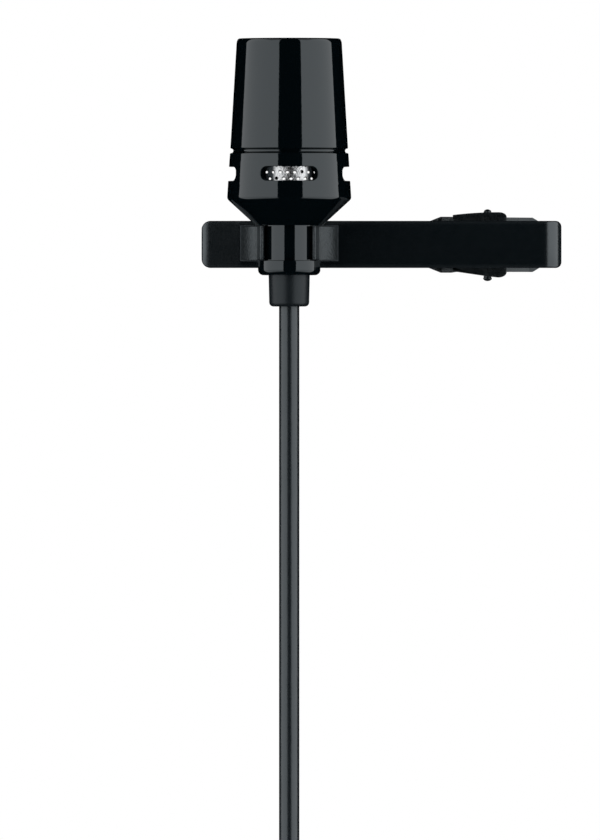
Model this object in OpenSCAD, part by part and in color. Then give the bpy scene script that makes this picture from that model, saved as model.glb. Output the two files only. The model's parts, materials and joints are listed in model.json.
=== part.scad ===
// A lavalier microphone on its tie clip, with its cable and plug.
// Sizes are in millimetres. +Z runs up along the microphone and +X along the clip's bar. The origin is
// the middle of the bar's grip face, straight behind the microphone.

/* [Head] */
// Diameter of the electret capsule
capsule_d = 9.7; // [9.4:0.1:10.2]
// Height of the capsule
capsule_h = 5; // [4:0.25:5.5]
// Height of the head's top above the middle of the bar
head_top = 20.55; // [20.2:0.05:23]
// Wall of the cap at its top
cap_wall = 0.35; // [0.3:0.01:0.5]
// How much the cap's radius grows from its top to its foot
cap_flare = 0.63; // [0.5:0.01:0.8]
// Height of the cap's foot
cap_foot = 9.6; // [9.5:0.05:10]
// Height of the groove under the cap
seam_h = 0.45; // [0.4:0.05:0.8]
// Depth of the groove under the cap
seam_depth = 0.26; // [0.15:0.01:0.3]
// How much the lower housing grows from the groove to its widest
housing_flare = 0.27; // [0.1:0.01:0.5]
// Height of the corner between the housing and the cone
corner_z = 4.59; // [4.4:0.01:4.8]

/* [Slots] */
// Number of slots round the head
slot_count = 4; // [2:1:4]
// Lowest height of a slot
slot_low = 6.3; // [6.1:0.05:6.5]
// Height of a slot
slot_h = 1.5; // [1.2:0.1:1.8]
// Half of the angle that a slot spans, in degrees
slot_half_angle = 28.4; // [22:0.2:36]
// Wall of the housing in front of the mesh
slot_wall = 0.75; // [0.6:0.05:0.85]
// Thickness of the mesh
mesh_t = 0.15; // [0.1:0.01:0.2]
// Width of a hole in the mesh
mesh_hole = 0.36; // [0.25:0.01:0.42]
// Holes in each row round the mesh
mesh_per_row = 45; // [40:1:48]
// Distance between the rows of holes
mesh_row_step = 0.65; // [0.5:0.05:0.65]

/* [Neck] */
// Radius of the neck
neck_r = 2.6; // [2.5:0.05:2.8]
// Radius of the cone where it meets the neck
cone_foot_r = 3.33; // [3.2:0.01:3.6]
// Height of the cone's foot
cone_foot = 1.85; // [1.8:0.05:2]
// Height of the collar's top
collar_top = -1.64; // [-1.8:0.02:-1.6]
// Height of the collar's foot
collar_foot = -3.12; // [-3.5:0.02:-2.9]
// Radius of the collar
collar_r = 3.12; // [3:0.02:3.4]
// Length of the strain relief under the collar
relief_h = 3.13; // [2.5:0.01:8]
// Radius of the strain relief at its top
relief_r = 2.06; // [1.9:0.01:2.3]

/* [Clip bar] */
// Reach of the bar from the microphone to its free end
bar_left = 8.76; // [8.2:0.02:10]
// Reach of the bar from the microphone past the hinge
bar_right = 27.24; // [26.8:0.02:29]
// Height of the bar
bar_h = 4.7; // [4.5:0.1:5]
// Thickness of the bar
bar_t = 1.2; // [1:0.1:1.4]
// Outer radius of the bend at the bar's end
bend_r = 2; // [1.5:0.05:2.2]
// Distance from the bar's grip face to the microphone's axis
mic_back = 6.2; // [6.1:0.05:7]

/* [Holder] */
// Radial clearance of the neck in the holder
neck_clearance = 0.05; // [0.03:0.01:0.1]
// Wall of the holder's ring
ring_wall = 0.55; // [0.45:0.05:0.6]
// Half of the ring's mouth
mouth_half = 2.45; // [2.3:0.01:2.5]
// Half of the width over the wings
wing_half = 4.92; // [4.6:0.02:5.5]
// Top of the wings
wing_top = 1.9; // [1.7:0.01:2]
// Foot of the wings
wing_foot = -1.68; // [-1.9:0.02:-1.6]
// Width of the step along the wings' edges
wing_step = 0.12; // [0.08:0.01:0.2]
// Radius of the rivet's shank
rivet_r = 0.7; // [0.5:0.05:0.8]

/* [Hinge] */
// Distance from the microphone to the hinge pin, along the bar
pin_x = 19.9; // [19.6:0.05:20.1]
// Distance from the bar's grip face to the hinge pin
pin_y = 2.3; // [2.25:0.05:2.5]
// Radius of the pin
pin_r = 0.39; // [0.35:0.01:0.42]
// Radial running clearance of the jaw on the pin
pin_clearance = 0.04; // [0.02:0.01:0.08]
// How far the pin stands out of the ears
pin_proud = 0.35; // [0.2:0.05:0.5]
// Thickness of the ears
ear_t = 0.4; // [0.35:0.05:0.5]
// Gap between the jaw's flanges and the ears
ear_gap = 0.07; // [0.05:0.01:0.1]

/* [Jaw] */
// Thickness of the jaw's sheet
jaw_t = 0.6; // [0.5:0.05:0.7]
// Half of the jaw's width over its flanges
flange_half = 2.73; // [2.7:0.01:2.8]
// Gap between the closed jaw and the bar at the tip
tip_gap = 0.12; // [0.1:0.02:0.3]
// Distance from the grip face to the flat of the jaw over the pin
jaw_rise = 3.75; // [3.7:0.05:4]
// Distance from the grip face to the end of the thumb lever
lever_rise = 5.9; // [5.4:0.1:6.4]
// Reach of the thumb lever past the microphone's axis
lever_x = 26.9; // [26.4:0.1:27.4]
// Teeth on the jaw and on the bar
tooth_count = 5; // [3:1:5]
// Distance from tooth to tooth
tooth_pitch = 0.8; // [0.6:0.05:0.8]
// Depth of a tooth
tooth_depth = 0.3; // [0.1:0.05:0.35]

/* [Clip spring] */
// Diameter of the spring's wire
wire_d = 0.4; // [0.3:0.02:0.42]
// Radius of the coil at the middle of its wire
coil_r = 1; // [0.95:0.01:1.05]
// Rise of the coil in one turn
coil_pitch = 0.9; // [0.85:0.01:0.95]
// Whole turns of the coil
coil_turns = 3; // [2:1:3]

/* [Cable] */
// Diameter of the cable
cable_d = 2.03; // [1.9:0.01:2.1]
// Gap between the cable and a bore that holds it
cable_gap = 0.03; // [0.02:0.01:0.06]

/* [Plug] */
// Radius of the mating sleeve
nose_r = 4; // [3.9:0.05:4.1]
// Length of the mating sleeve past the shell
nose_h = 8; // [7:0.1:9]
// Wall of the mating sleeve
nose_wall = 0.55; // [0.4:0.05:0.6]
// Wall of the shell over the sleeve
shell_wall = 0.75; // [0.6:0.05:0.9]
// Length of the shell
shell_h = 12; // [11.5:0.25:14]
// Length of the back nut
nut_h = 4; // [3:0.25:6]
// Length of the boot
boot_h = 13; // [11:0.5:18]
// Radius of the boot where the cable enters
boot_r = 2; // [1.9:0.05:2.4]
// Number of contacts
contact_count = 4; // [3:1:5]
// Radius of the circle of contacts
contact_circle_r = 1.75; // [1.6:0.05:1.9]
// Outer radius of a contact
contact_r = 0.48; // [0.4:0.02:0.5]
// Radius of the latch button
latch_r = 1.2; // [1:0.05:1.4]
// Travel of the latch button
latch_travel = 0.6; // [0.3:0.05:0.7]

/* [Hidden] */

round_fn = 64;          // sides of a round piece where only its picture needs them
eps = 0.01;             // overreach of a cut past the face it opens

// Head, from the top down
lip_t = 0.5;            // the cap's lip over the grille
lip_reach = 0.4;        // how far the lip covers the grille
seat_gap = 0.05;        // radial gap between the capsule and the cap
grille_t = 0.3;
cloth_t = 0.6;
gasket_t = 1;
board_t = 0.6;
cap_bore_r = capsule_d / 2 + seat_gap;
cap_top_r = cap_bore_r + cap_wall;
cap_foot_r = cap_top_r + cap_flare;
rim_r = 0.4;            // rounding of the cap's top edge
foot_r = 0.2;           // rounding of the edges at the groove
grille_top = head_top - lip_t;
cloth_top = grille_top - grille_t;
capsule_top = cloth_top - cloth_t;
capsule_foot = capsule_top - capsule_h;
spigot_top = capsule_foot - gasket_t;
spigot_gap = 0.02;      // radial gap of the thread between cap and housing
spigot_r = cap_bore_r - spigot_gap;
spigot_wall = 0.5;
housing_top = cap_foot - seam_h;
housing_top_r = cap_foot_r + 0.05;
housing_r = housing_top_r + housing_flare;
groove_r = cap_foot_r - seam_depth;
grille_hole = 0.5;      // width of a hole in the top grille
grille_pitch = 0.95;    // distance between the holes of the top grille
grille_rings = 4;       // rings of holes round the grille's middle

// Housing and cone
cone_slope = (housing_r - cone_foot_r) / (corner_z - cone_foot);
cone_blend = 0.5;       // radius of the bend from the housing into the cone
mesh_r = housing_r - 0.08 - slot_wall;
cavity_top = housing_top - 0.15;
neck_bore_r = 1.6;
cone_wall = 1.43;       // thickness of the cone, measured level
funnel_low = cone_foot - (cone_foot_r - cone_wall - neck_bore_r) / cone_slope;
funnel_top = cone_foot + (mesh_r - cone_foot_r + cone_wall) / cone_slope;
mesh_gap = 0.03;        // gap between the mesh and the housing's bore
mesh_margin = 0.5;      // how far the mesh reaches past the slots' edges
mesh_rise = 0.16;       // height of the middle row of holes over the slots' middle
mesh_split = 6;         // opening of the rolled strip, in degrees
slot_mid = slot_low + slot_h / 2;

// Neck, collar and what holds the cable
ring_low = collar_top + 0.06;
ring_top = cone_foot - 0.06;
collar_round = 0.55;    // rounding of the collar's lower edge
collar_edge = 0.1;      // rounding of the collar's upper edge
socket_top = collar_top + 0.34;
socket_wall = 1.17;     // the collar's wall round the strain relief
relief_taper = 0.06;
relief_round = 0.45;
relief_foot = collar_foot - relief_h;
relief_plug_r = collar_r - socket_wall - 0.03;
cable_r = cable_d / 2;
cable_bore_r = cable_r + cable_gap;
crimp_r = neck_bore_r - 0.05;
crimp_flange_t = 0.7;
crimp_flange_rise = 0.35;
crimp_flange_z = cone_foot + crimp_flange_rise;
crimp_flange_r = cone_foot_r - cone_wall + cone_slope * crimp_flange_rise - 0.15;
crimp_foot = socket_top + 0.1;
cable_top = crimp_flange_z + crimp_flange_t;
lead_r = 0.18;
lead_spare = 1.5;       // overlength of a lead before its ends are cut level
lead_spread = 2.6;      // distance of a lead from the axis at the board
lead_gather = 0.5;      // distance of a lead from the axis at the cable

// Clip bar
bar_half = bar_h / 2;
bar_round_left = 0.9;
bar_round_right = 0.4;
bend_reach = 1.2;       // how far the bent end stands behind the grip face
tip_round = 0.6;        // rounding of the bar's free end, seen from above
tooth_start = 0.9;      // distance from the bar's end to its first tooth

// Holder
ring_r = neck_r + neck_clearance;
ring_out_r = ring_r + ring_wall;
lip_r = ring_wall / 2;
lip_mid_r = ring_r + lip_r;
lip_angle = asin((mouth_half + lip_r) / lip_mid_r);
wing_t = 0.3;
ramp_t = 0.06;          // thickness of the ramp at its thin end
ramp_rise = 0.77;       // how far the ramp climbs before the ring's side
ramp_power = 3.5;       // how late the ramp climbs
lip_flare_x = 2.72;     // where a lip's flared tip ends, from the microphone's axis
lip_flare_y = 1.8;
lip_tip_r = 0.2;
rivet_depth = 1.6;      // depth of the rivet's shank in the holder
rivet_head_r = rivet_r + 0.45;
rivet_head_t = 0.45;

// Hinge
ear_in = flange_half + ear_gap;
ear_left = 3.5;         // reach of the ears from the pin towards the microphone
ear_right = 1.9;        // reach of the ears from the pin towards the thumb lever
ear_round = 1.05;       // radius of the ears round the pin
ear_bow = 0.5;          // how far the ears bow outwards
ear_bend = 0.5;         // share of the ear's length whose inner face is bent
ear_end = 0.8;          // length of the ear's rounded end
web_t = 0.4;
pin_half = ear_in + ear_t + pin_proud;

// Jaw
lever_stop = 0.3;       // gap between the jaw's flanges and the bracket's web
jaw_back = 0.15;        // how far the jaw's tip lies behind the bar's end
jaw_tip_x = -bar_left + jaw_back;
grip_spare = 0.26;      // flat stretch after the last tooth
grip_end_x = tooth_start - bar_left + tooth_count * tooth_pitch + grip_spare;
flange_left = 5.1;      // reach of the flanges from the pin towards the tip
flange_right = 5.2;     // reach of the flanges from the pin towards the lever
flange_taper = 1;
flange_arc = [200, 330]; // where the flange's round lower edge starts and ends, in degrees
flat_half = 1.9;        // half of the jaw's flat over the pin
jaw_steps = 8;          // straight pieces in each curved stretch of the jaw
jaw_power = 1.25;       // how late the jaw's arm rises
lever_bend = 0.62;      // how much of an S the lever's bend takes
flange_in = flange_half - jaw_t;

// Clip spring
coil_side = 6;
coil_rings = 8;         // rings in a turn of the coil
coil_half = coil_pitch * (coil_turns + 0.5) / 2;
leg_reach = 3;          // how far the legs reach past the pin
leg_bend = 0.5;         // size of a leg's bend

// Cable route. The points are round numbers, chosen by hand.
drop_points = [[0, -6.2, -6.25], [0, -6.2, -20], [0, -6.2, -34], [0, -6.2, -48], [0, -6.2, -62]];
tail_points = [
    [-1.8, 4.6, -99], [-1.8, 4.6, -101.1], [-1.5, 5.2, -104], [-0.9, 6.8, -107.3], [-0.4, 8.7, -110.5],
    [-0.1, 10.2, -113.2], [0, 10.9, -115.5], [0, 11, -117.5], [0, 11, -124], [0, 11, -132]];
drop_step = 5;          // distance between the rings of a free stretch
cable_sides = 8;

// Hank
hank_z = -95;           // height of the hank's waist
hank_half = 19.5;       // half of a straight run
hank_in_r = 6.3;        // radius of the innermost end
hank_step = 2.75;       // distance from loop to loop in a layer
hank_layer = 2.7;       // distance from layer to layer
hank_layers = 4;
layer_turns = 2;
hank_waist = 4.5;       // how far the waist is drawn in
hank_front = -6.2;      // where the cable comes down, in front of the first layer
run_rings = 3;          // rings in half of a run
bend_rings = 6;         // rings in the bend at an end
loop_rings = 4 * run_rings + 2 * bend_rings;
hank_sides = 6;
hank_out_r = hank_in_r + layer_turns * hank_step;
entry_rings = 8;        // rings from the hank's top to its waist
hank_top = drop_points[4].z;
waist_tail = 4;         // how far the last turn runs on below the waist
tie_half = 1.75;
tie_t = 0.9;
tie_gap = 0.2;
tie_corner = 2;

// Plug
plug_y = tail_points[9].y;
plug_top = -118;
boot_foot = plug_top - boot_h;
nut_foot = boot_foot - nut_h;
shell_foot = nut_foot - shell_h;
nose_foot = shell_foot - nose_h;
shell_r = nose_r + shell_wall;
nut_r = shell_r - 0.4;
boot_foot_r = nut_r - 0.6;
boot_grooves = 4;
boot_groove_w = 0.8;
boot_groove_pitch = 1.9;
boot_seat = 1.5;        // how far the boot reaches into the nut
boot_chamber_r = 2.4;
boot_chamber_h = 4.5;
nose_seat = 2;          // how far the mating sleeve reaches into the shell
insert_h = 9.5;
insert_recess = 1;      // how far the insert lies back from the sleeve's end
insert_gap = 0.03;
contact_wall = 0.14;
contact_tail = 3;       // how far the contacts stand out behind the insert
latch_drop = 4.6;       // distance from the nut to the middle of the latch button
latch_z = nut_foot - latch_drop;
latch_gap = 0.04;
latch_proud = latch_travel + 0.15;
latch_flange_t = 0.4;
latch_flange_r = latch_r + 0.35;
latch_inner = 3;        // distance of the button's inner end from the plug's axis
leaf_gap = 0.05;        // gap between the button and its leaf
leaf_t = 0.2;
leaf_w = 2;
clamp_h = 4;
nose_step = 0.35;       // step of the mating sleeve where it enters the shell
bore_step = 0.07;       // how much narrower than the mating sleeve the shell's bore is
shell_bore_r = nose_r - bore_step;

// ---- helpers ----

function arc(center, r, from, to, steps) =
    [for (i = [0:steps]) let (a = from + (to - from) * i / steps) center + r * [cos(a), sin(a)]];

function ease(t) = t <= 0 ? 0 : t >= 1 ? 1 : t * t * (3 - 2 * t);

function unit(v) = v / norm(v);

function heading(path, i) = unit(path[min(i + 1, len(path) - 1)] - path[max(i - 1, 0)]);

function ring_points(path, i, r, sides, up) =
    let (t = heading(path, i), u = unit(cross(up, t)), v = cross(t, u))
    [for (k = [0:sides - 1])
        path[i] + r * (cos(360 * (k + 0.5) / sides) * u + sin(360 * (k + 0.5) / sides) * v)];

function total(list, i = 0, sum = 0) = i >= len(list) ? sum : total(list, i + 1, sum + list[i]);

function path_length(path) = total([for (i = [1:len(path) - 1]) norm(path[i] - path[i - 1])]);

// A tube of triangles along a path, closed at both ends.
module tube(path, r, sides, up) {
    rings = len(path);
    points = [for (i = [0:rings - 1]) each ring_points(path, i, r, sides, up)];
    walls = [for (i = [0:rings - 2], k = [0:sides - 1])
        let (a = i * sides + k, b = i * sides + (k + 1) % sides)
        each [[a, b + sides, b], [a, a + sides, b + sides]]];
    start = [for (k = [1:sides - 2]) [0, k, k + 1]];
    last = (rings - 1) * sides;
    end = [for (k = [1:sides - 2]) [last, last + k + 1, last + k]];
    polyhedron(points = points, faces = concat(walls, start, end));
}

// The least gap of a tube to itself, leaving out the stretch within reach of each point.
function least_gap(path, d, reach) =
    min([for (i = [0:len(path) - 1], j = [i + 1:len(path) - 1])
        if (j - i > reach) norm(path[i] - path[j])]) - d;

// Points at even steps along the straight stretches between chosen points.
function fill(points, step) = concat(
    [for (i = [0:len(points) - 2])
        let (n = max(1, round(norm(points[i + 1] - points[i]) / step)))
        each [for (k = [0:n - 1]) points[i] + (points[i + 1] - points[i]) * k / n]],
    [points[len(points) - 1]]);

module at_mic() translate([0, -mic_back, 0]) children();

module at_pin() translate([pin_x, pin_y, 0]) children();

module at_plug() translate([0, plug_y, 0]) children();

module tube_piece(low, high, outer, inner) {
    difference() {
        translate([0, 0, low]) cylinder(h = high - low, r = outer, $fn = round_fn);
        translate([0, 0, low - eps]) cylinder(h = high - low + 2 * eps, r = inner, $fn = round_fn);
    }
}

module round_box(half_x, half_y, r) {
    for (sx = [-1, 1], sy = [-1, 1])
        translate([sx * (half_x - r), sy * (half_y - r)]) circle(r = r, $fn = round_fn);
    square([2 * (half_x - r), 2 * half_y], center = true);
    square([2 * half_x, 2 * (half_y - r)], center = true);
}

// ---- head ----

module head_cap() {
    lip_in_r = cap_bore_r - lip_reach;
    color("#0a0f12") at_mic() rotate_extrude($fn = round_fn) polygon(concat(
        [[lip_in_r, head_top]],
        arc([cap_top_r - rim_r, head_top - rim_r], rim_r, 90, 2, 6),
        arc([cap_foot_r - foot_r, cap_foot + foot_r], foot_r, 0, -90, 3),
        [[cap_bore_r, cap_foot], [cap_bore_r, grille_top], [lip_in_r, grille_top]]));
}

module top_grille() {
    color("#1b1f22") at_mic() translate([0, 0, cloth_top]) linear_extrude(grille_t) difference() {
        circle(r = cap_bore_r - seat_gap, $fn = round_fn);
        circle(r = grille_hole / 2, $fn = 6);
        for (n = [1:grille_rings], k = [0:6 * n - 1])
            rotate(60 * k / n) translate([n * grille_pitch, 0]) circle(r = grille_hole / 2, $fn = 6);
    }
}

module front_cloth() {
    color("#111315") at_mic() translate([0, 0, capsule_top])
        cylinder(h = cloth_t, r = capsule_d / 2, $fn = round_fn);
}

module capsule() {
    can_r = capsule_d / 2;
    fold = 0.35;
    port_r = 0.75;
    port_depth = 0.4;
    color("#b9bcbe") at_mic() difference() {
        rotate_extrude($fn = round_fn) polygon(concat(
            [[0, capsule_foot], [can_r - fold, capsule_foot], [can_r, capsule_foot + fold]],
            arc([can_r - fold, capsule_top - fold], fold, 0, 90, 4),
            [[0, capsule_top]]));
        translate([0, 0, capsule_top - port_depth])
            cylinder(h = port_depth + eps, r = port_r, $fn = round_fn);
    }
}

module capsule_gasket() {
    color("#202224") at_mic()
        tube_piece(spigot_top, capsule_foot, cap_bore_r - seat_gap, spigot_r - spigot_wall);
}

module circuit_board() {
    board_gap = 0.4;
    color("#1f5a35") at_mic() translate([0, 0, capsule_foot - board_t])
        cylinder(h = board_t, r = spigot_r - spigot_wall - board_gap, $fn = round_fn);
}

module capsule_leads() {
    board_foot = capsule_foot - board_t;
    rise = board_foot - cable_top;
    lean = atan((lead_spread - lead_gather) / rise);
    for (side = [-1, 1])
        color("#26282a") at_mic() intersection() {
            translate([side * lead_gather, 0, cable_top]) rotate([0, side * lean, 0])
                translate([0, 0, -lead_spare]) cylinder(h = rise + 2 * lead_spare, r = lead_r, $fn = 24);
            translate([0, 0, cable_top + rise / 2]) cube([2 * cap_bore_r, 2, rise], center = true);
        }
}

// The rolled strip behind the slots, with its staggered rows of holes.
module mesh_sleeve() {
    out_r = mesh_r - mesh_gap;
    low = slot_low - mesh_margin;
    high = slot_low + slot_h + mesh_margin;
    pitch = 360 / mesh_per_row;
    color("#c9cbcc") at_mic() difference() {
        rotate([0, 0, 45]) rotate_extrude(angle = 360 - mesh_split, $fn = round_fn)
            translate([out_r - mesh_t, low]) square([mesh_t, high - low]);
        for (row = [-1:1], k = [0:mesh_per_row - 1])
            let (turn = (k + (row == 0 ? 0.5 : 0)) * pitch)
            if (abs(turn % 90 - 45) > 90 / 2 - slot_half_angle - pitch / 2)
                translate([0, 0, slot_mid + mesh_rise + row * mesh_row_step]) rotate([0, 90, turn])
                    translate([0, 0, out_r - 2 * mesh_t])
                        cylinder(h = 3 * mesh_t, r = mesh_hole / 2, $fn = 6);
    }
}

module lower_housing() {
    tilt = atan(cone_slope);
    blend_z = corner_z + cone_blend * tan((90 - tilt) / 2);
    bore_r = spigot_r - spigot_wall;
    color("#0a0f12") at_mic() difference() {
        rotate_extrude($fn = round_fn) difference() {
            polygon(concat(
                [[0, spigot_top], [spigot_r, spigot_top], [spigot_r, cap_foot], [groove_r, cap_foot]],
                [[groove_r, housing_top], [housing_top_r - foot_r, housing_top]],
                arc([housing_top_r - foot_r, housing_top - foot_r], foot_r, 90, 0, 3),
                arc([housing_r - cone_blend, blend_z], cone_blend, 0, tilt - 90, 6),
                [[cone_foot_r, cone_foot], [neck_r, cone_foot], [neck_r, collar_top]],
                arc([collar_r - collar_edge, collar_top - collar_edge], collar_edge, 90, 0, 3),
                arc([collar_r - collar_round, collar_foot + collar_round], collar_round, 0, -90, 6),
                [[0, collar_foot]]));
            polygon([[-1, spigot_top + 1], [bore_r, spigot_top + 1], [bore_r, cavity_top],
                [mesh_r, cavity_top - (mesh_r - bore_r) / 3], [mesh_r, funnel_top],
                [neck_bore_r, funnel_low], [neck_bore_r, socket_top],
                [collar_r - socket_wall, socket_top], [collar_r - socket_wall, collar_foot - 1],
                [-1, collar_foot - 1]]);
        }
        for (k = [0:slot_count - 1]) rotate(360 * k / slot_count - 90) slot_cut();
    }
}

// One slot through the wall, with round ends that lie straight outwards.
module slot_cut() {
    end_angle = slot_half_angle - asin(slot_h / 2 / housing_r);
    reach = 2;
    rotate([0, 0, -end_angle]) rotate_extrude(angle = 2 * end_angle, $fn = round_fn)
        translate([mesh_r - eps, slot_low]) square([reach, slot_h]);
    for (side = [-1, 1]) rotate([0, 90, side * end_angle]) translate([-slot_mid, 0, mesh_r - 0.2])
        cylinder(h = reach, r = slot_h / 2, $fn = round_fn);
}

// ---- what holds the cable in the neck ----

module cable_crimp() {
    color("#b08d4c") at_mic() rotate_extrude($fn = round_fn) polygon([
        [cable_bore_r, crimp_foot], [crimp_r, crimp_foot], [crimp_r, crimp_flange_z],
        [crimp_flange_r, crimp_flange_z], [crimp_flange_r, cable_top], [cable_bore_r, cable_top]]);
}

module strain_relief() {
    foot_out_r = relief_r - relief_taper;
    color("#22282b") at_mic() rotate_extrude($fn = round_fn) polygon(concat(
        [[cable_bore_r, socket_top], [relief_plug_r, socket_top], [relief_plug_r, collar_foot]],
        [[relief_r, collar_foot]],
        arc([foot_out_r - relief_round, relief_foot + relief_round], relief_round, 0, -90, 6),
        [[cable_bore_r, relief_foot]]));
}

module cable_end() {
    color("#2b3033") at_mic() translate([0, 0, relief_foot])
        cylinder(h = cable_top - relief_foot, r = cable_r, $fn = round_fn);
}

// ---- cable ----

module cable_drop() {
    route = concat([[0, -mic_back, relief_foot]], [for (i = [1:len(drop_points) - 1]) drop_points[i]]);
    color("#2b3033") tube(fill(route, drop_step), cable_r, cable_sides, [0, 1, 0]);
}

function layer_of(s) = min(hank_layers - 1, floor(s / layer_turns));

// Radius of the hank's ends after s turns: out and in again, layer by layer.
function hank_r(s) =
    let (layer = layer_of(s), u = s - layer * layer_turns)
    layer % 2 == 0 ? hank_in_r + hank_step * u : hank_out_r - hank_step * u;

// Depth of the strand after s turns. It climbs a layer along the run where the spiral turns back.
function hank_depth(s) =
    let (half_climb = run_rings / loop_rings)
    hank_front + hank_layer * (1 + (hank_layers < 2 ? 0 :
        ease_sum(s, half_climb, 1)));

function ease_sum(s, half_climb, m) = m >= hank_layers ? 0 :
    ease((s - m * layer_turns + half_climb) / (2 * half_climb)) + ease_sum(s, half_climb, m + 1);

function drawn_in(z) = abs(z) >= hank_half ? 0 : hank_waist * (1 + cos(180 * z / hank_half)) / 2;

// A point of the hank after k rings, counted from the waist of its first run.
function hank_point(k) =
    let (
        s = k / loop_rings,
        j = k % loop_rings,
        r = hank_r(s),
        y = hank_depth(s),
        bend_1 = run_rings,
        run_2 = bend_1 + bend_rings,
        bend_2 = run_2 + 2 * run_rings,
        run_3 = bend_2 + bend_rings)
    j < bend_1 ? let (z = -hank_half * j / run_rings) [-(r - drawn_in(z)), y, hank_z + z] :
    j < run_2 ? let (a = 180 * (j - bend_1) / bend_rings)
        [-r * cos(a), y, hank_z - hank_half - r * sin(a)] :
    j < bend_2 ? let (z = hank_half * ((j - run_2) / run_rings - 1)) [r - drawn_in(z), y, hank_z + z] :
    j < run_3 ? let (a = 180 * (j - bend_2) / bend_rings)
        [r * cos(a), y, hank_z + hank_half + r * sin(a)] :
    let (z = hank_half * (1 - (j - run_3) / run_rings)) [-(r - drawn_in(z)), y, hank_z + z];

// The way in, straight down in front of the top ends and then to the first run at the waist.
function hank_entry() =
    let (first = hank_point(0), start = [0, hank_front, hank_top])
    concat([start], [for (i = [1:entry_rings - 1])
        let (
            t = i / entry_rings,
            shift = ease((t - 0.45) / 0.55))
        [first.x * shift, hank_front + (first.y - hank_front) * shift, hank_top + (hank_z - hank_top) * t]]);

hank_path = concat(
    hank_entry(),
    [for (k = [0:hank_layers * layer_turns * loop_rings]) hank_point(k)],
    [for (t = [0.5, 1]) hank_point(hank_layers * layer_turns * loop_rings) - [0, 0, t * waist_tail]]);

module cable_hank() {
    color("#2b3033") tube(hank_path, cable_r, hank_sides, [0, 1, 0]);
}

module cable_tail() {
    color("#2b3033") tube(tail_points, cable_r, cable_sides, [0, 1, 0]);
}

module cable_tie() {
    depth = hank_layer * (hank_layers - 1);
    half_x = hank_out_r - hank_waist + cable_r + tie_gap;
    half_y = depth / 2 + cable_r + tie_gap;
    color("#16191b") translate([0, hank_front + hank_layer + depth / 2, hank_z - tie_half])
        linear_extrude(2 * tie_half) difference() {
            round_box(half_x + tie_t, half_y + tie_t, tie_corner);
            round_box(half_x, half_y, tie_corner - tie_t);
        }
}

// ---- plug ----

module connector_boot() {
    slope = (boot_foot_r - boot_r) / boot_h;
    first = plug_top - 2;
    color("#1c2022") at_plug() rotate_extrude($fn = round_fn) difference() {
        polygon([[cable_bore_r, plug_top], [boot_r, plug_top], [boot_foot_r, boot_foot],
            [boot_foot_r - 0.5, boot_foot], [boot_foot_r - 0.5, boot_foot - boot_seat],
            [boot_chamber_r, boot_foot - boot_seat], [boot_chamber_r, boot_foot + boot_chamber_h],
            [cable_bore_r, boot_foot + boot_chamber_h]]);
        for (i = [0:boot_grooves - 1])
            let (z = first - i * boot_groove_pitch, r = boot_r + slope * (plug_top - z))
            translate([r - 0.3, z - boot_groove_w]) square([1, boot_groove_w]);
    }
}

module connector_nut() {
    seat_r = boot_foot_r - 0.5 + insert_gap;
    color("#8f9396") at_plug() tube_piece(nut_foot, boot_foot, nut_r, seat_r);
}

module connector_shell() {
    edge = 0.3;
    seat_r = nose_r - nose_step + insert_gap;
    color("#8f9396") at_plug() difference() {
        rotate_extrude($fn = round_fn) polygon([
            [shell_bore_r, nut_foot], [shell_r - edge, nut_foot], [shell_r, nut_foot - edge],
            [shell_r, shell_foot + edge], [shell_r - edge, shell_foot], [seat_r, shell_foot],
            [seat_r, shell_foot + nose_seat], [shell_bore_r, shell_foot + nose_seat]]);
        translate([0, 0, latch_z]) rotate([-90, 0, 0])
            cylinder(h = shell_r + 1, r = latch_r + latch_gap, $fn = round_fn);
    }
}

module connector_nose() {
    color("#b4b7b9") at_plug() rotate_extrude($fn = round_fn) polygon([
        [nose_r - nose_wall, nose_foot], [nose_r, nose_foot], [nose_r, shell_foot],
        [nose_r - nose_step, shell_foot], [nose_r - nose_step, shell_foot + nose_seat],
        [nose_r - nose_wall, shell_foot + nose_seat]]);
}

module connector_insert() {
    low = nose_foot + insert_recess;
    color("#1a1c1e") at_plug() difference() {
        translate([0, 0, low]) cylinder(h = insert_h, r = nose_r - nose_wall - insert_gap, $fn = round_fn);
        for (k = [0:contact_count - 1]) rotate(360 * (k + 0.5) / contact_count)
            translate([contact_circle_r, 0, low - eps])
                cylinder(h = insert_h + 2 * eps, r = contact_r + insert_gap, $fn = 24);
    }
}

module connector_contacts() {
    low = nose_foot + insert_recess + 0.2;
    high = nose_foot + insert_recess + insert_h + contact_tail;
    color("#c8a24a") at_plug() for (k = [0:contact_count - 1]) rotate(360 * (k + 0.5) / contact_count)
        translate([contact_circle_r, 0, 0]) difference() {
            translate([0, 0, low]) cylinder(h = high - low, r = contact_r, $fn = 24);
            translate([0, 0, low - eps]) cylinder(h = insert_h, r = contact_r - contact_wall, $fn = 24);
        }
}

module cable_clamp() {
    low = boot_foot - boot_seat;
    color("#a0a4a6") at_plug() tube_piece(low, low + clamp_h, boot_chamber_r - insert_gap, cable_bore_r);
}

module latch_button() {
    button_h = shell_r + latch_proud - latch_inner;
    color("#6f7477") at_plug() translate([0, 0, latch_z]) rotate([-90, 0, 0])
        translate([0, 0, latch_inner]) {
            cylinder(h = button_h, r = latch_r, $fn = round_fn);
            cylinder(h = latch_flange_t, r = latch_flange_r, $fn = round_fn);
        }
}

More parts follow.
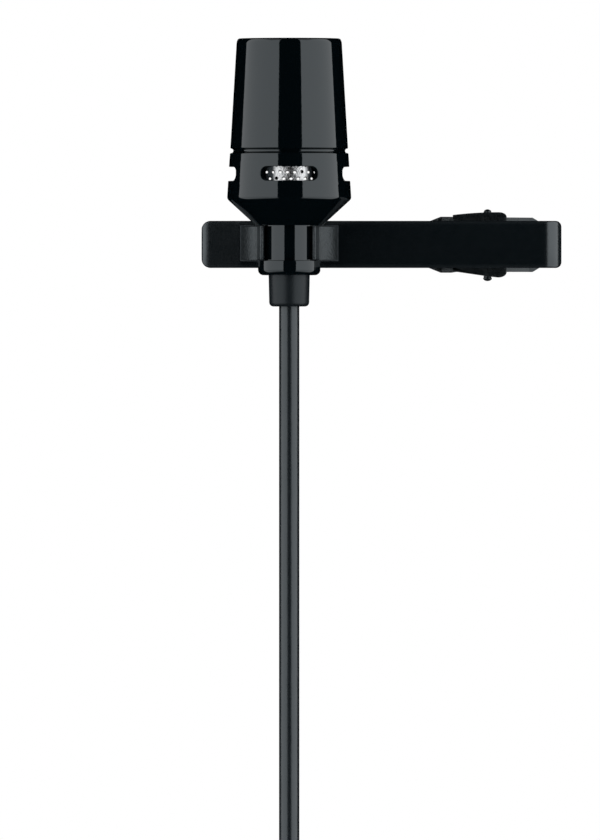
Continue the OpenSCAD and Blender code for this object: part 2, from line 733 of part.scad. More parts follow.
// A leaf that lies against the shell's bore at both ends and bows under the button.
module latch_spring() {
    seat_r = sqrt(pow(shell_bore_r, 2) - pow(leaf_w / 2, 2)) - leaf_gap;
    bow = seat_r - latch_inner + leaf_gap;
    rise = 1.45;
    foot = 0.5;
    steps = 4;
    flat = latch_flange_r + 0.2;
    side = concat(
        [for (i = [0:steps]) [flat + rise * i / steps, bow * ease(i / steps)]],
        [[flat + rise + foot, bow]]);
    outline = concat([for (i = [len(side) - 1:-1:0]) [-side[i].x, side[i].y]], side);
    color("#c0c3c4") at_plug() translate([0, 0, latch_z]) rotate([90, 0, 90])
        translate([latch_inner - leaf_gap - leaf_t, 0, -leaf_w / 2]) linear_extrude(leaf_w)
            polygon(concat(
                [for (p = outline) [p.y, p.x]],
                [for (i = [len(outline) - 1:-1:0]) [outline[i].y + leaf_t, outline[i].x]]));
}

// ---- clip ----

// Zigzag of teeth, standing away from the line y = 0 of a flat face.
function teeth(x0, y, depth) = [for (i = [0:tooth_count - 1]) each
    [[x0 + i * tooth_pitch, y], [x0 + (i + 0.5) * tooth_pitch, y + depth], [x0 + (i + 1) * tooth_pitch, y]]];

function reversed(list) = [for (i = [len(list) - 1:-1:0]) list[i]];

module front_bar() {
    left = -bar_left;
    bend_x = bar_right - bend_r;
    bend_y = bend_r - bar_t;
    color("#0d1214") difference() {
        intersection() {
            translate([0, 0, -bar_half]) linear_extrude(bar_h) polygon(concat(
                arc([left + tip_round, -bar_t + tip_round], tip_round, 180, 270, 6),
                arc([bend_x, bend_y], bend_r, -90, 0, 10),
                [[bar_right, bend_reach], [bar_right - bar_t, bend_reach]],
                arc([bend_x, bend_y], bend_r - bar_t, 0, -90, 6),
                reversed(teeth(left + tooth_start, 0, -tooth_depth)),
                [[left, 0]]));
            rotate([90, 0, 0]) translate([0, 0, -bend_reach - 1])
                linear_extrude(bar_t + bend_reach + 2) bar_outline();
        }
        rivet_shape(eps);
    }
}

module bar_outline() {
    left = -bar_left;
    for (side = [-1, 1]) {
        translate([left + bar_round_left, side * (bar_half - bar_round_left)])
            circle(r = bar_round_left, $fn = round_fn);
        translate([bar_right - bar_round_right, side * (bar_half - bar_round_right)])
            circle(r = bar_round_right, $fn = round_fn);
    }
    translate([left + bar_round_left, -bar_half])
        square([bar_right + bar_left - bar_round_left - bar_round_right, bar_h]);
    translate([left, -bar_half + bar_round_left]) square([bar_round_left, bar_h - 2 * bar_round_left]);
    translate([bar_right - bar_round_right, -bar_half + bar_round_right])
        square([bar_round_right, bar_h - 2 * bar_round_right]);
}

// The rivet along Y, from the grip face towards the microphone, grown by a little where it is a hole.
module rivet_shape(grow) {
    rotate([90, 0, 0]) rotate_extrude($fn = round_fn) polygon([
        [0, -grow], [rivet_head_r + grow, -grow], [rivet_r + grow, rivet_head_t],
        [rivet_r + grow, bar_t + rivet_depth + grow], [0, bar_t + rivet_depth + grow]]);
}

module holder_rivet() {
    color("#3a3f42") rivet_shape(0);
}

// The outline of the ramps and the ring, seen from above.
module holder_outline() {
    foot_y = -bar_t - wing_t;
    run_x = wing_half - wing_step - ring_out_r;
    difference() {
        union() {
            polygon(concat(
                [[-wing_half + wing_step, -bar_t], [-wing_half + wing_step, foot_y - ramp_t]],
                ramp_edge(-1, run_x, foot_y),
                reversed(ramp_edge(1, run_x, foot_y)),
                [[wing_half - wing_step, foot_y - ramp_t], [wing_half - wing_step, -bar_t]]));
            translate([0, -mic_back]) circle(r = ring_out_r, $fn = round_fn);
        }
        translate([0, -mic_back]) circle(r = ring_r, $fn = round_fn);
        translate([0, -mic_back]) polygon([[0, 0],
            3 * ring_out_r * [-sin(lip_angle), -cos(lip_angle)], [0, -4 * ring_out_r],
            3 * ring_out_r * [sin(lip_angle), -cos(lip_angle)]]);
    }
    for (side = [-1, 1]) flared_lip(side);
}

// A lip of the ring's mouth, drawn out to a thinner round tip.
module flared_lip(side) {
    root = [side * lip_mid_r * sin(lip_angle), -mic_back - lip_mid_r * cos(lip_angle)];
    tip = [side * lip_flare_x, -mic_back - lip_flare_y];
    along = unit(tip - root);
    level = [-along.y, along.x];
    translate(root) circle(r = lip_r, $fn = round_fn);
    translate(tip) circle(r = lip_tip_r, $fn = round_fn);
    polygon([root - lip_r * level, tip - lip_tip_r * level, tip + lip_tip_r * level, root + lip_r * level]);
}

// The edge of one hollow ramp, from the wing up to the ring's side and along it to the ring's middle.
function ramp_edge(side, run_x, foot_y) = concat(
    [for (i = [0:8]) let (t = i / 8)
        [side * (wing_half - wing_step - run_x * t), foot_y - ramp_t - ramp_rise * pow(t, ramp_power)]],
    [[side * ring_out_r, -mic_back]]);

module mic_holder() {
    color("#2c3134") difference() {
        union() {
            translate([-wing_half, -bar_t - wing_t, wing_foot])
                cube([2 * wing_half, wing_t, wing_top - wing_foot]);
            translate([0, 0, ring_low]) linear_extrude(ring_top - ring_low) holder_outline();
        }
        rivet_shape(eps);
    }
}

// A point of an ear's inner face, seen from the front, at a share of the ear's length.
function ear_inside(t) = [pin_x - ear_left + (ear_left + ear_right) * t,
    ear_in - ear_bow * pow(max(0, 1 - t / ear_bend), 2)];

// An ear seen from the front: a bowed band beside the jaw's flange, with a rounded end.
module ear_band() {
    left = pin_x - ear_left;
    span = ear_left + ear_right - ear_end;
    polygon(concat(
        [for (i = [0:9]) ear_inside(i / 10)],
        [for (i = [5:-1:1]) let (a = 90 * i / 5)
            [left + span + ear_end * sin(a), ear_in + ear_t * cos(a)]],
        [for (i = [8:-1:0]) [left + span * i / 8, ear_in + ear_t - ear_bow * pow(1 - i / 8, 2)]]));
}

module hinge_bracket() {
    left = pin_x - ear_left;
    right = pin_x + ear_right;
    shoulder = 1.1;
    color("#15191b") difference() {
        union() {
            for (side = [0, 1]) mirror([0, 0, side]) intersection() {
                rotate([90, 0, 0]) translate([0, 0, -pin_y - 2 * ear_round])
                    linear_extrude(pin_y + 2 * ear_round) ear_band();
                translate([0, 0, -2 * pin_half]) linear_extrude(4 * pin_half) {
                    polygon([[left, 0], [left, shoulder / 2], [pin_x - ear_round, pin_y - 0.3],
                        [pin_x, pin_y], [pin_x + ear_round, pin_y - 0.3], [right, shoulder], [right, 0]]);
                    translate([pin_x, pin_y]) circle(r = ear_round, $fn = round_fn);
                }
            }
            translate([left, 0, -bar_half]) cube([ear_left + ear_right, web_t, bar_h]);
            for (side = [0, 1]) mirror([0, 0, side]) rotate([90, 0, 0]) translate([0, 0, -web_t])
                linear_extrude(web_t) polygon(concat(
                    [[left, bar_half - eps], [right, bar_half - eps]],
                    [for (i = [10:-1:0]) let (p = ear_inside(i / 10)) [p.x, max(bar_half, p.y) + eps]]));
        }
        at_pin() cylinder(h = 4 * pin_half, r = pin_r + eps, center = true, $fn = round_fn);
    }
}

module hinge_pin() {
    dome = 0.3;
    color("#1a1e20") at_pin() rotate_extrude($fn = round_fn) polygon(concat(
        [[0, -pin_half]],
        [for (i = [1:4]) let (a = 90 * i / 4) [pin_r * sin(a), -pin_half + dome * (1 - cos(a))]],
        [for (i = [4:-1:1]) let (a = 90 * i / 4) [pin_r * sin(a), pin_half - dome * (1 - cos(a))]],
        [[0, pin_half]]));
}

// Height of the jaw's inner face over the grip face, at x.
function jaw_y(x) =
    x < grip_end_x ? tip_gap :
    x < pin_x - flat_half ? tip_gap + (jaw_rise - tip_gap) *
        pow((x - grip_end_x) / (pin_x - flat_half - grip_end_x), jaw_power) :
    x < pin_x + flat_half ? jaw_rise :
    jaw_rise + (lever_rise - jaw_rise) * ease(lever_bend * lever_share(x)) / ease(lever_bend);

// How far along the thumb lever x lies, from 0 at its root to 1 at its end.
function lever_share(x) = (x - pin_x - flat_half) / (lever_x - pin_x - flat_half);

function jaw_stretch(from, to) =
    [for (i = [0:jaw_steps]) let (x = from + (to - from) * i / jaw_steps) [x, jaw_y(x)]];

module rear_jaw() {
    inner = concat(
        [[jaw_tip_x, tip_gap]],
        teeth(tooth_start - bar_left, tip_gap, tooth_depth),
        jaw_stretch(grip_end_x, pin_x - flat_half),
        jaw_stretch(pin_x + flat_half, lever_x));
    outer = concat(
        [[jaw_tip_x, tip_gap + jaw_t]],
        [for (p = jaw_stretch(grip_end_x, pin_x - flat_half)) p + [0, jaw_t]],
        [for (p = jaw_stretch(pin_x + flat_half, lever_x)) p + [0, jaw_t]]);
    color("#15191b") difference() {
        union() {
            intersection() {
                translate([0, 0, -flange_half]) linear_extrude(2 * flange_half)
                    polygon(concat(inner, reversed(outer)));
                rotate([90, 0, 0]) translate([0, 0, -2 * lever_rise]) linear_extrude(3 * lever_rise)
                    jaw_outline();
            }
            for (side = [0, 1]) mirror([0, 0, side]) translate([0, 0, flange_in])
                linear_extrude(jaw_t) flange_outline();
        }
        at_pin() cylinder(h = 4 * pin_half, r = pin_r + pin_clearance, center = true, $fn = round_fn);
    }
}

// The jaw seen from the front: narrow at the tip and the lever, wide over the flanges.
module jaw_outline() {
    half = bar_half - 0.1;
    left = pin_x - flange_left;
    right = pin_x + flange_right;
    polygon([
        [jaw_tip_x, -half + 0.5], [jaw_tip_x + 0.5, -half], [left - flange_taper, -half],
        [left + flange_taper / 2, -flange_half], [right - flange_taper, -flange_half], [right, -half],
        [lever_x - 0.8, -half], [lever_x, -half + 0.8], [lever_x, half - 0.8], [lever_x - 0.8, half],
        [right, half], [right - flange_taper, flange_half], [left + flange_taper / 2, flange_half],
        [left - flange_taper, half], [jaw_tip_x + 0.5, half], [jaw_tip_x, half - 0.5]]);
}

// A flange seen from above. Below the pin it is round, so that it clears the bracket as it turns.
module flange_outline() {
    left = pin_x - flange_left + flange_taper / 2;
    right = pin_x + flange_right - flange_taper;
    round_r = pin_y - web_t - lever_stop;
    polygon(concat(
        [[left, jaw_y(left) + jaw_t / 2], [left, jaw_y(left) - 0.7]],
        arc([pin_x, pin_y], round_r, flange_arc[0], flange_arc[1], 10),
        [[right, jaw_y(right) - 0.5], [right, jaw_y(right) + jaw_t / 2],
            [pin_x + flat_half, jaw_rise + jaw_t / 2], [pin_x - flat_half, jaw_rise + jaw_t / 2]]));
}

// Torsion spring: a leg on the bar, the coil round the pin, and a leg under the lever.
leg_x = pin_x + leg_reach;
lever_at_leg = jaw_y(leg_x);
spring_path = concat(
    [[leg_x, 0.02, -coil_half], [leg_x, 0.02 + wire_d, -coil_half]],
    [[leg_x - leg_bend / 2, pin_y - coil_r - 0.15, -coil_half],
        [leg_x - 3 * leg_bend, pin_y - coil_r, -coil_half]],
    [for (i = [0:coil_rings * (coil_turns + 0.5)]) let (a = -90 - 360 * i / coil_rings)
        [pin_x + coil_r * cos(a), pin_y + coil_r * sin(a),
            -coil_half + coil_pitch * i / coil_rings]],
    [[leg_x - 3 * leg_bend, pin_y + coil_r, coil_half],
        [leg_x - leg_bend / 2, pin_y + coil_r + 0.1, coil_half],
        [leg_x, lever_at_leg - 0.02 - wire_d, coil_half], [leg_x, lever_at_leg - 0.02, coil_half]]);

module clip_spring() {
    color("#9a9ea0") tube(spring_path, wire_d / 2, coil_side, [0, 0, 1]);
}

echo(hank_gap = least_gap(hank_path, cable_d, 5), spring_gap = least_gap(spring_path, wire_d, 3));
echo(cable_length = path_length(drop_points) + path_length(hank_path) + path_length(tail_points));

head_cap();
top_grille();
front_cloth();
capsule();
capsule_gasket();
circuit_board();
capsule_leads();
mesh_sleeve();
lower_housing();
cable_crimp();
strain_relief();
cable_end();
cable_drop();
cable_hank();
cable_tail();
cable_tie();
connector_boot();
connector_nut();
connector_shell();
connector_nose();
connector_insert();
connector_contacts();
cable_clamp();
latch_button();
latch_spring();
front_bar();
mic_holder();
holder_rivet();
hinge_bracket();
hinge_pin();
clip_spring();
rear_jaw();
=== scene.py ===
# %% [markdown]
# # A lavalier microphone in its tie clip
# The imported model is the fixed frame: every node has its true place and size, and moves with its body.
# This scene dresses it. Some nodes keep their shape and get a finish; others are replaced by finer pieces.

# %% Load the frame
import json
from math import asin, atan, atan2, copysign, cos, degrees, pi, radians, sin, sqrt, tan

import bmesh
import bpy
from mathutils import Matrix, Vector


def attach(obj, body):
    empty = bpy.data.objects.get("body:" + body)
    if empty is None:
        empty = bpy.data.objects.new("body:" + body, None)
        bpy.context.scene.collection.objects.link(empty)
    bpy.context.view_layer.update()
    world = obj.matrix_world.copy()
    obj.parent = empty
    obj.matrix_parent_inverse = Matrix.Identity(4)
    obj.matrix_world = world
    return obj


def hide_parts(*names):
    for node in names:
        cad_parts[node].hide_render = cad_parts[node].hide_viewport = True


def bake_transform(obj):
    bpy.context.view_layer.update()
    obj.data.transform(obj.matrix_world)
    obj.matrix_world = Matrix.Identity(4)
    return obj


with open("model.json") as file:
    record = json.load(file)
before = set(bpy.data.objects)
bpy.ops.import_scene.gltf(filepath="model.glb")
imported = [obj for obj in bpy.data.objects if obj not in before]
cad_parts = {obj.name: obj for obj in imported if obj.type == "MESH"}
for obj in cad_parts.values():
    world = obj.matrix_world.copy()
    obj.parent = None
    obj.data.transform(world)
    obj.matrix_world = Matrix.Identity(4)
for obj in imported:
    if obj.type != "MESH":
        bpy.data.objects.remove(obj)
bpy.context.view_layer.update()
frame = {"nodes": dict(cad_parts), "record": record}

MM = 0.001
print("nodes in the frame:", len(frame["nodes"]))

# %% [markdown]
# ## Helpers for nodes
# The world and every finish are made of shader nodes. Short functions make, set and link them, so that an
# effect reads as one line per step. Node by node code does the same at three times the length.

# %% Node helpers
FLOAT, COLOUR, VECTOR = "NodeSocketFloat", "NodeSocketColor", "NodeSocketVector"


def make_group(name, inputs, outputs):
    """An empty node group. Inputs and outputs are name: (kind, default)."""
    group = bpy.data.node_groups.new(name, "ShaderNodeTree")
    for direction, sockets in (("INPUT", inputs), ("OUTPUT", outputs)):
        for label, (kind, default) in sockets.items():
            socket = group.interface.new_socket(name=label, in_out=direction, socket_type=kind)
            socket.default_value = default
    return group, group.nodes.new("NodeGroupInput").outputs, group.nodes.new("NodeGroupOutput").inputs


def close_group(group, result, **outputs):
    for label, socket in outputs.items():
        group.links.new(socket, result[label])
    print("group:", group.name, "with", len(group.nodes), "nodes")


def add_node(tree, kind, settings=None, **links):
    """A node with its settings and its sockets. A value is set, and a socket is linked."""
    made = tree.nodes.new("ShaderNode" + kind)
    for label, value in (settings or {}).items():
        setattr(made, label, value)
    for label, value in links.items():
        socket = made.inputs[int(label[1:])] if label[0] == "_" else made.inputs[label.replace("_", " ")]
        if isinstance(value, bpy.types.NodeSocket):
            tree.links.new(value, socket)
        else:
            socket.default_value = value
    return made


def math_node(tree, operation, first, second=0.0):
    return add_node(tree, "Math", {"operation": operation}, _0=first, _1=second).outputs[0]


def vector_node(tree, operation, first, second=(0, 0, 0)):
    return add_node(tree, "VectorMath", {"operation": operation}, _0=first, _1=second).outputs[0]


def split_node(tree, vector):
    return add_node(tree, "SeparateXYZ", Vector=vector).outputs


def object_place(tree):
    return add_node(tree, "TexCoord").outputs["Object"]


def noise(tree, place, scale, detail, roughness=0.5):
    return add_node(tree, "TexNoise", Vector=place, Scale=scale, Detail=detail,
                    Roughness=roughness).outputs["Fac"]


def ramp(tree, value, start, end, first=0.0, last=1.0):
    """A mask that runs from first to last while the value runs from start to end."""
    return add_node(tree, "MapRange", Value=value, From_Min=start, From_Max=end, To_Min=first,
                    To_Max=last).outputs["Result"]


def mix_colours(tree, mask, first, second):
    return add_node(tree, "Mix", {"data_type": "RGBA"}, _0=mask, _6=first, _7=second).outputs[2]


# %% [markdown]
# ## Camera
# A product shot of a small part is taken from far away with a long lens, which keeps its edges parallel.
# The same could be had from an orthographic camera, but a long lens is nearer to what a studio does. The
# view covers 60 by 84 mm, and its middle lies a little to the right of the head and below it.

# %% Camera
VIEW_HEIGHT = 84.0
VIEW_MIDDLE = (1.08, -17.6)
LENS, SENSOR = 1000.0, 36.0
NEAR_CLIP, FAR_CLIP = 0.1, 60
MIC_Y = -6.2
MIC_AXIS = (0, MIC_Y)

camera_data = bpy.data.cameras.new("camera")
camera_data.lens = LENS
camera_data.sensor_fit = "AUTO"
camera_data.sensor_width = SENSOR
camera_data.clip_start, camera_data.clip_end = NEAR_CLIP, FAR_CLIP
camera = bpy.data.objects.new("camera", camera_data)
bpy.context.scene.collection.objects.link(camera)
distance = VIEW_HEIGHT * LENS / SENSOR
camera.location = Vector((VIEW_MIDDLE[0], MIC_Y - distance, VIEW_MIDDLE[1])) * MM
camera.rotation_euler = (radians(90), 0, 0)
bpy.context.scene.camera = camera
bpy.context.scene.view_settings.view_transform = "Standard"
print("camera stands", round(distance), "mm in front of the microphone")

# %% [markdown]
# ## Studio
# Gloss black shows nothing but what it reflects, so the studio is built for its reflections. Two tall soft
# boxes stand to the left and the right and draw one bright strip each on the head. Black cards between them,
# in front, behind, above and below, keep the rest of the lacquer black. Only reflections see the cards. The
# world is white where it is seen, and weak where it only lights, so that colours keep their own value.

# %% World
AMBIENT = 0.3
world = bpy.data.worlds.new("studio")
bpy.context.scene.world = world
world.use_nodes = True
tree = world.node_tree
backdrop = tree.nodes["Background"]
backdrop.inputs["Color"].default_value = (1, 1, 1, 1)
path = add_node(tree, "LightPath").outputs
seen = path["Is Camera Ray"]
for ray in ("Is Glossy Ray", "Is Transmission Ray"):
    seen = math_node(tree, "MAXIMUM", seen, path[ray])
tree.links.new(ramp(tree, seen, 0.0, 1.0, AMBIENT, 1.0), backdrop.inputs["Strength"])
print("world set: white behind the object,", AMBIENT, "on it")

# %% Even steps
def even(start, run, parts):
    """Numbers from start over a run, with so many equal steps."""
    return [start + run * i / parts for i in range(parts + 1)]


# %% Soft boxes
LEFT_BOX, LEFT_LEVEL = (21.5, 107.0), 0.8
RIGHT_BOX, RIGHT_LEVEL = (25.0, 105.0), 0.98
BOX_REACH, BOX_HEIGHT = 0.55, 1.4


def round_point(angle, r, z, center=(0, 0)):
    """A point round an upright axis. Angle 0 is towards the camera and 90 to the right."""
    a = radians(angle)
    return center[0] + r * sin(a), center[1] - r * cos(a), z


def soft_box(name, near_angle, far_angle, level):
    near, far = (Vector(round_point(angle, BOX_REACH, 0.0)) for angle in (near_angle, far_angle))
    data = bpy.data.lights.new(name, "AREA")
    data.shape = "RECTANGLE"
    data.size = (far - near).length
    data.size_y = BOX_HEIGHT
    data.energy = level * pi * data.size * data.size_y
    across = (far - near).normalized() * copysign(1, near_angle)
    up = Vector((0, 0, 1))
    box = bpy.data.objects.new(name, data)
    bpy.context.scene.collection.objects.link(box)
    box.matrix_world = Matrix.Translation((near + far) / 2) @ Matrix(
        (across, up, across.cross(up))).transposed().to_4x4()
    box.visible_camera = False
    return box


for name, near, far, level in (("soft box left", -LEFT_BOX[0], -LEFT_BOX[1], LEFT_LEVEL),
                               ("soft box right", *RIGHT_BOX, RIGHT_LEVEL)):
    box = soft_box(name, near, far, level)
    facing = -(box.matrix_world.to_3x3() @ Vector((0, 0, 1)))
    print(name, "faces the head:", round(facing.dot(-box.location.normalized()), 2))

# %% Cards and floor
FLOOR_Z, FLOOR_HALF, FLOOR_TONE, FLOOR_GLOW = -0.45, 3.0, 0.8, 0.35
CARD_TOP, CARD_REACH, CARD_ROWS, CARD_COLUMNS = 0.85, 0.6, 52, 24
LID_HALF, FLOOR_GAP = 0.8, 0.005
CORNER_TURN, ROUND_ABOVE, ROUND_BELOW = 15.0, (0.15, 0.57), (0.03, 0.42)


def flat_finish(name, value, glow=0.0):
    """The plain matte finish of a card or of the floor."""
    made = bpy.data.materials.new(name)
    made.use_nodes = True
    shader = made.node_tree.nodes["Principled BSDF"].inputs
    shader["Base Color"].default_value = (value, value, value, 1)
    shader["Roughness"].default_value = 1.0
    shader["Specular IOR Level"].default_value = 0.0
    shader["Emission Color"].default_value = (1, 1, 1, 1)
    shader["Emission Strength"].default_value = glow
    return made


def stage_piece(name, points, faces=((0, 1, 2, 3),)):
    mesh = bpy.data.meshes.new(name)
    mesh.from_pydata(points, [], faces)
    obj = bpy.data.objects.new(name, mesh)
    bpy.context.scene.collection.objects.link(obj)
    return obj


def cut_back(z):
    """How far, in degrees, a card reaches before the soft box at a height, which rounds the box's corners."""
    start, depth = ROUND_ABOVE if z > 0 else ROUND_BELOW
    share = min(max((abs(z) - start) / depth, 0), 1)
    return CORNER_TURN * (1 - sqrt(1 - share ** 2))


def card(name, start, end):
    """An upright card, bent round the microphone from one angle to another."""
    points = []
    for z in even(FLOOR_Z, CARD_TOP - FLOOR_Z, CARD_ROWS):
        first, last = start - cut_back(z), end + cut_back(z)
        points += [round_point(a, CARD_REACH, z) for a in even(first, last - first, CARD_COLUMNS)]
    row = CARD_COLUMNS + 1
    faces = [(j * row + i, j * row + i + 1, (j + 1) * row + i + 1, (j + 1) * row + i)
             for j in range(CARD_ROWS) for i in range(CARD_COLUMNS)]
    return stage_piece(name, points, faces)


def square(half, z):
    return [(-half, -half, z), (half, -half, z), (half, half, z), (-half, half, z)]


black_card = flat_finish("black card", 0.0)
cards = [
    card("card front", -LEFT_BOX[0], RIGHT_BOX[0]),
    card("card back", RIGHT_BOX[1], 360 - LEFT_BOX[1]),
    stage_piece("card above", square(LID_HALF, CARD_TOP)),
    stage_piece("card below", square(CARD_REACH, FLOOR_Z + FLOOR_GAP)),
]
for obj in cards:
    obj.data.materials.append(black_card)
    for ray in ("camera", "diffuse", "transmission", "shadow"):
        setattr(obj, "visible_" + ray, False)
floor = stage_piece("floor", square(FLOOR_HALF, FLOOR_Z))
floor.data.materials.append(flat_finish("floor", FLOOR_TONE, FLOOR_GLOW))
print("cards:", len(cards), "floor at", FLOOR_Z, "m")

# %% [markdown]
# ## Effects for the finishes
# A real surface is never one value. Lacquer has orange peel, a coating has grain, a strap has its weave and
# handled metal has worn patches. Each effect is a node group with named sockets, built once, and every
# material places it with its own values. Painted image maps could do the same, but a procedure has no seams
# and no resolution.
#
# Grain covers every coated, moulded or blasted surface: fine bumps, and a roughness that changes a little
# with them. Two sizes of noise mix, because one size alone looks printed.

# %% Grain
FINE_SHARE, COARSE_SCALE, CONTRAST = 0.75, 0.17, 4.0
PER_METRE = 1000.0
grain, given, result = make_group(
    "grain",
    {"Size": (FLOAT, 0.1), "Roughness": (FLOAT, 0.4), "Spread": (FLOAT, 0.05), "Stretch": (FLOAT, 1.0)},
    {"Roughness": (FLOAT, 0.4), "Height": (FLOAT, 0.0)})
stretched = add_node(grain, "CombineXYZ", X=1.0, Y=1.0, Z=given["Stretch"]).outputs[0]
placed = vector_node(grain, "MULTIPLY", object_place(grain), stretched)
density = math_node(grain, "DIVIDE", PER_METRE, given["Size"])
fine = noise(grain, placed, density, 2.0)
coarse = noise(grain, placed, math_node(grain, "MULTIPLY", density, COARSE_SCALE), 1.0)
height = math_node(grain, "ADD", math_node(grain, "MULTIPLY", fine, FINE_SHARE),
                   math_node(grain, "MULTIPLY", coarse, 1 - FINE_SHARE))
centred = math_node(grain, "MULTIPLY", math_node(grain, "SUBTRACT", height, 0.5), CONTRAST)
change = math_node(grain, "MULTIPLY", centred, given["Spread"])
close_group(grain, result, Roughness=math_node(grain, "ADD", given["Roughness"], change), Height=height)

# %% [markdown]
# Wear shows as patches where the black has rubbed thin. A noise with a steep slope makes patches with soft
# edges. Painted patches would have to be drawn for each part.

# %% Wear
DARK, WORN_AND_SHEEN = (COLOUR, (0.02, 0.02, 0.02, 1)), (COLOUR, (0.1, 0.1, 0.1, 1))
PATCH_START, PATCH_END = 0.45, 0.75
wear, given, result = make_group(
    "wear", {"Colour": DARK, "Worn": WORN_AND_SHEEN, "Size": (FLOAT, 1.0), "Amount": (FLOAT, 0.3)}, {"Colour": DARK})
spots = noise(wear, object_place(wear), math_node(wear, "DIVIDE", PER_METRE, given["Size"]), 4.0, 0.6)
mask = ramp(wear, spots, PATCH_START, PATCH_END, 0.0, given["Amount"])
close_group(wear, result, Colour=mix_colours(wear, mask, given["Colour"], given["Worn"]))

# %% [markdown]
# A painted highlight: a thin light line along the outer edges of a plate stands in for the light that its
# edges catch. The distance to the rim of a rectangle gives it, so the group takes the plate's middle, its
# half sizes and a width.

# %% Painted rim highlight
rim_highlight, given, result = make_group(
    "painted rim highlight",
    {"Colour": DARK, "Worn": WORN_AND_SHEEN, "Middle": (VECTOR, (0, 0, 0)), "Half": (VECTOR, (1, 0, 1)),
     "Width": (FLOAT, 0.1)},
    {"Colour": DARK})
scaled = vector_node(rim_highlight, "MULTIPLY", object_place(rim_highlight), (PER_METRE, PER_METRE, PER_METRE))
away = vector_node(rim_highlight, "ABSOLUTE", vector_node(rim_highlight, "SUBTRACT", scaled, given["Middle"]))
inside = split_node(rim_highlight, vector_node(rim_highlight, "SUBTRACT", given["Half"], away))
mask = ramp(rim_highlight, math_node(rim_highlight, "MINIMUM", inside["X"], inside["Z"]), 0.0, given["Width"], 1.0, 0.0)
close_group(rim_highlight, result, Colour=mix_colours(rim_highlight, mask, given["Colour"], given["Worn"]))

# %% [markdown]
# Woven cloth is two sets of threads at right angles. Two waves across each other give the height, and the
# same height darkens the gaps between the threads: a painted shade in the gaps.

# %% Weave
HALF_TURNS = 3141.6        # radians per metre, for half a wave per millimetre
weave, given, result = make_group(
    "weave", {"Thread": (FLOAT, 0.3), "Colour": DARK, "Gap": (COLOUR, (0.004, 0.004, 0.004, 1))},
    {"Colour": DARK, "Height": (FLOAT, 0.0)})
split = split_node(weave, object_place(weave))
turns = math_node(weave, "DIVIDE", HALF_TURNS, given["Thread"])
around = math_node(weave, "ADD", split["X"], split["Y"])
warp = math_node(weave, "SINE", math_node(weave, "MULTIPLY", around, turns))
weft = math_node(weave, "SINE", math_node(weave, "MULTIPLY", split["Z"], turns))
crossed = math_node(weave, "MULTIPLY", warp, weft)
threads = math_node(weave, "ADD", math_node(weave, "MULTIPLY", crossed, 0.5), 0.5)
close_group(weave, result, Colour=mix_colours(weave, threads, given["Gap"], given["Colour"]), Height=threads)

# %% [markdown]
# ## One way to write a finish
# Every finish needs the same few decisions: the colour, how rough it is, whether it is metal, and which
# effects lie over it. A helper takes them as numbers. The reflections of the black coatings are slightly
# cool, as a thin blue-black lacquer makes them, and that is the specular tint.

# %% Finish helper
COOL = (0.86, 0.95, 1.0)
NEUTRAL = (1.0, 1.0, 1.0)
RELIEF, GAP_SHADE = 0.4, 0.25
FINISHES = {}


def finish(name, colour, roughness, metallic=0.0, ior=1.5, tint=COOL, size=0.1, spread=0.03, bump=0.1,
           stretch=1.0, worn=None, patch=1.5, thread=None, rim=None):
    """A material with grain, and with wear, weave or a painted rim highlight where they are asked for. Sizes
    are in millimetres.
    """
    made = bpy.data.materials.new(name)
    made.use_nodes = True
    tree = made.node_tree
    shader = tree.nodes["Principled BSDF"].inputs
    solid = (*colour, 1)
    for label, value in (("Metallic", metallic), ("IOR", ior), ("Specular Tint", (*tint, 1)),
                         ("Base Color", solid)):
        shader[label].default_value = value

    def effect(group, **values):
        return add_node(tree, "Group", {"node_tree": group}, **values).outputs

    base = effect(grain, Size=size, Roughness=roughness, Spread=spread, Stretch=stretch)
    tree.links.new(base["Roughness"], shader["Roughness"])
    height, depth = base["Height"], size * RELIEF
    if worn:
        patches = effect(wear, Colour=solid, Worn=(*worn[:3], 1), Size=patch, Amount=worn[3])
        tree.links.new(patches["Colour"], shader["Base Color"])
    # The rim line is a painted highlight: a lighter line along a plate's edges, where they catch the light.
    if rim:
        middle, half, width, painted_sheen = rim
        line = effect(rim_highlight, Colour=solid, Worn=(*painted_sheen, 1), Middle=middle, Half=half, Width=width)
        tree.links.new(line["Colour"], shader["Base Color"])
    if thread:
        cloth = effect(weave, Thread=thread, Colour=solid, Gap=(*(c * GAP_SHADE for c in colour), 1))
        tree.links.new(cloth["Colour"], shader["Base Color"])
        height, depth = cloth["Height"], thread * RELIEF
    relief = add_node(tree, "Bump", Strength=bump, Distance=depth * MM, Height=height)
    tree.links.new(relief.outputs["Normal"], shader["Normal"])
    FINISHES[name] = made


# %% [markdown]
# ## The finishes
# Black parts differ only in how they reflect. The head is deep gloss lacquer, the clip's bar a satin
# coating, the holder a grainy matte one, the hinge worn black oxide, the jacket a dense satin plastic and the
# sleeve under the head a matte rubber. Behind the slots lies bright steel. Written side by side, they are
# easy to compare and to tune.

# %% Black finishes
finish("head_lacquer", (0.0008, 0.0022, 0.003), 0.05, ior=1.51, size=0.6, spread=0.01, bump=0.012)
# The rim line on the bar paints its edges lighter: a painted highlight where they catch the light.
finish("clip_black", (0.0006, 0.0024, 0.0036), 0.24, ior=1.65, size=0.12, spread=0.04, bump=0.1,
       rim=((9.24, 0, 0), (18.0, 0, 2.35), 0.4, (0.008, 0.011, 0.013)))
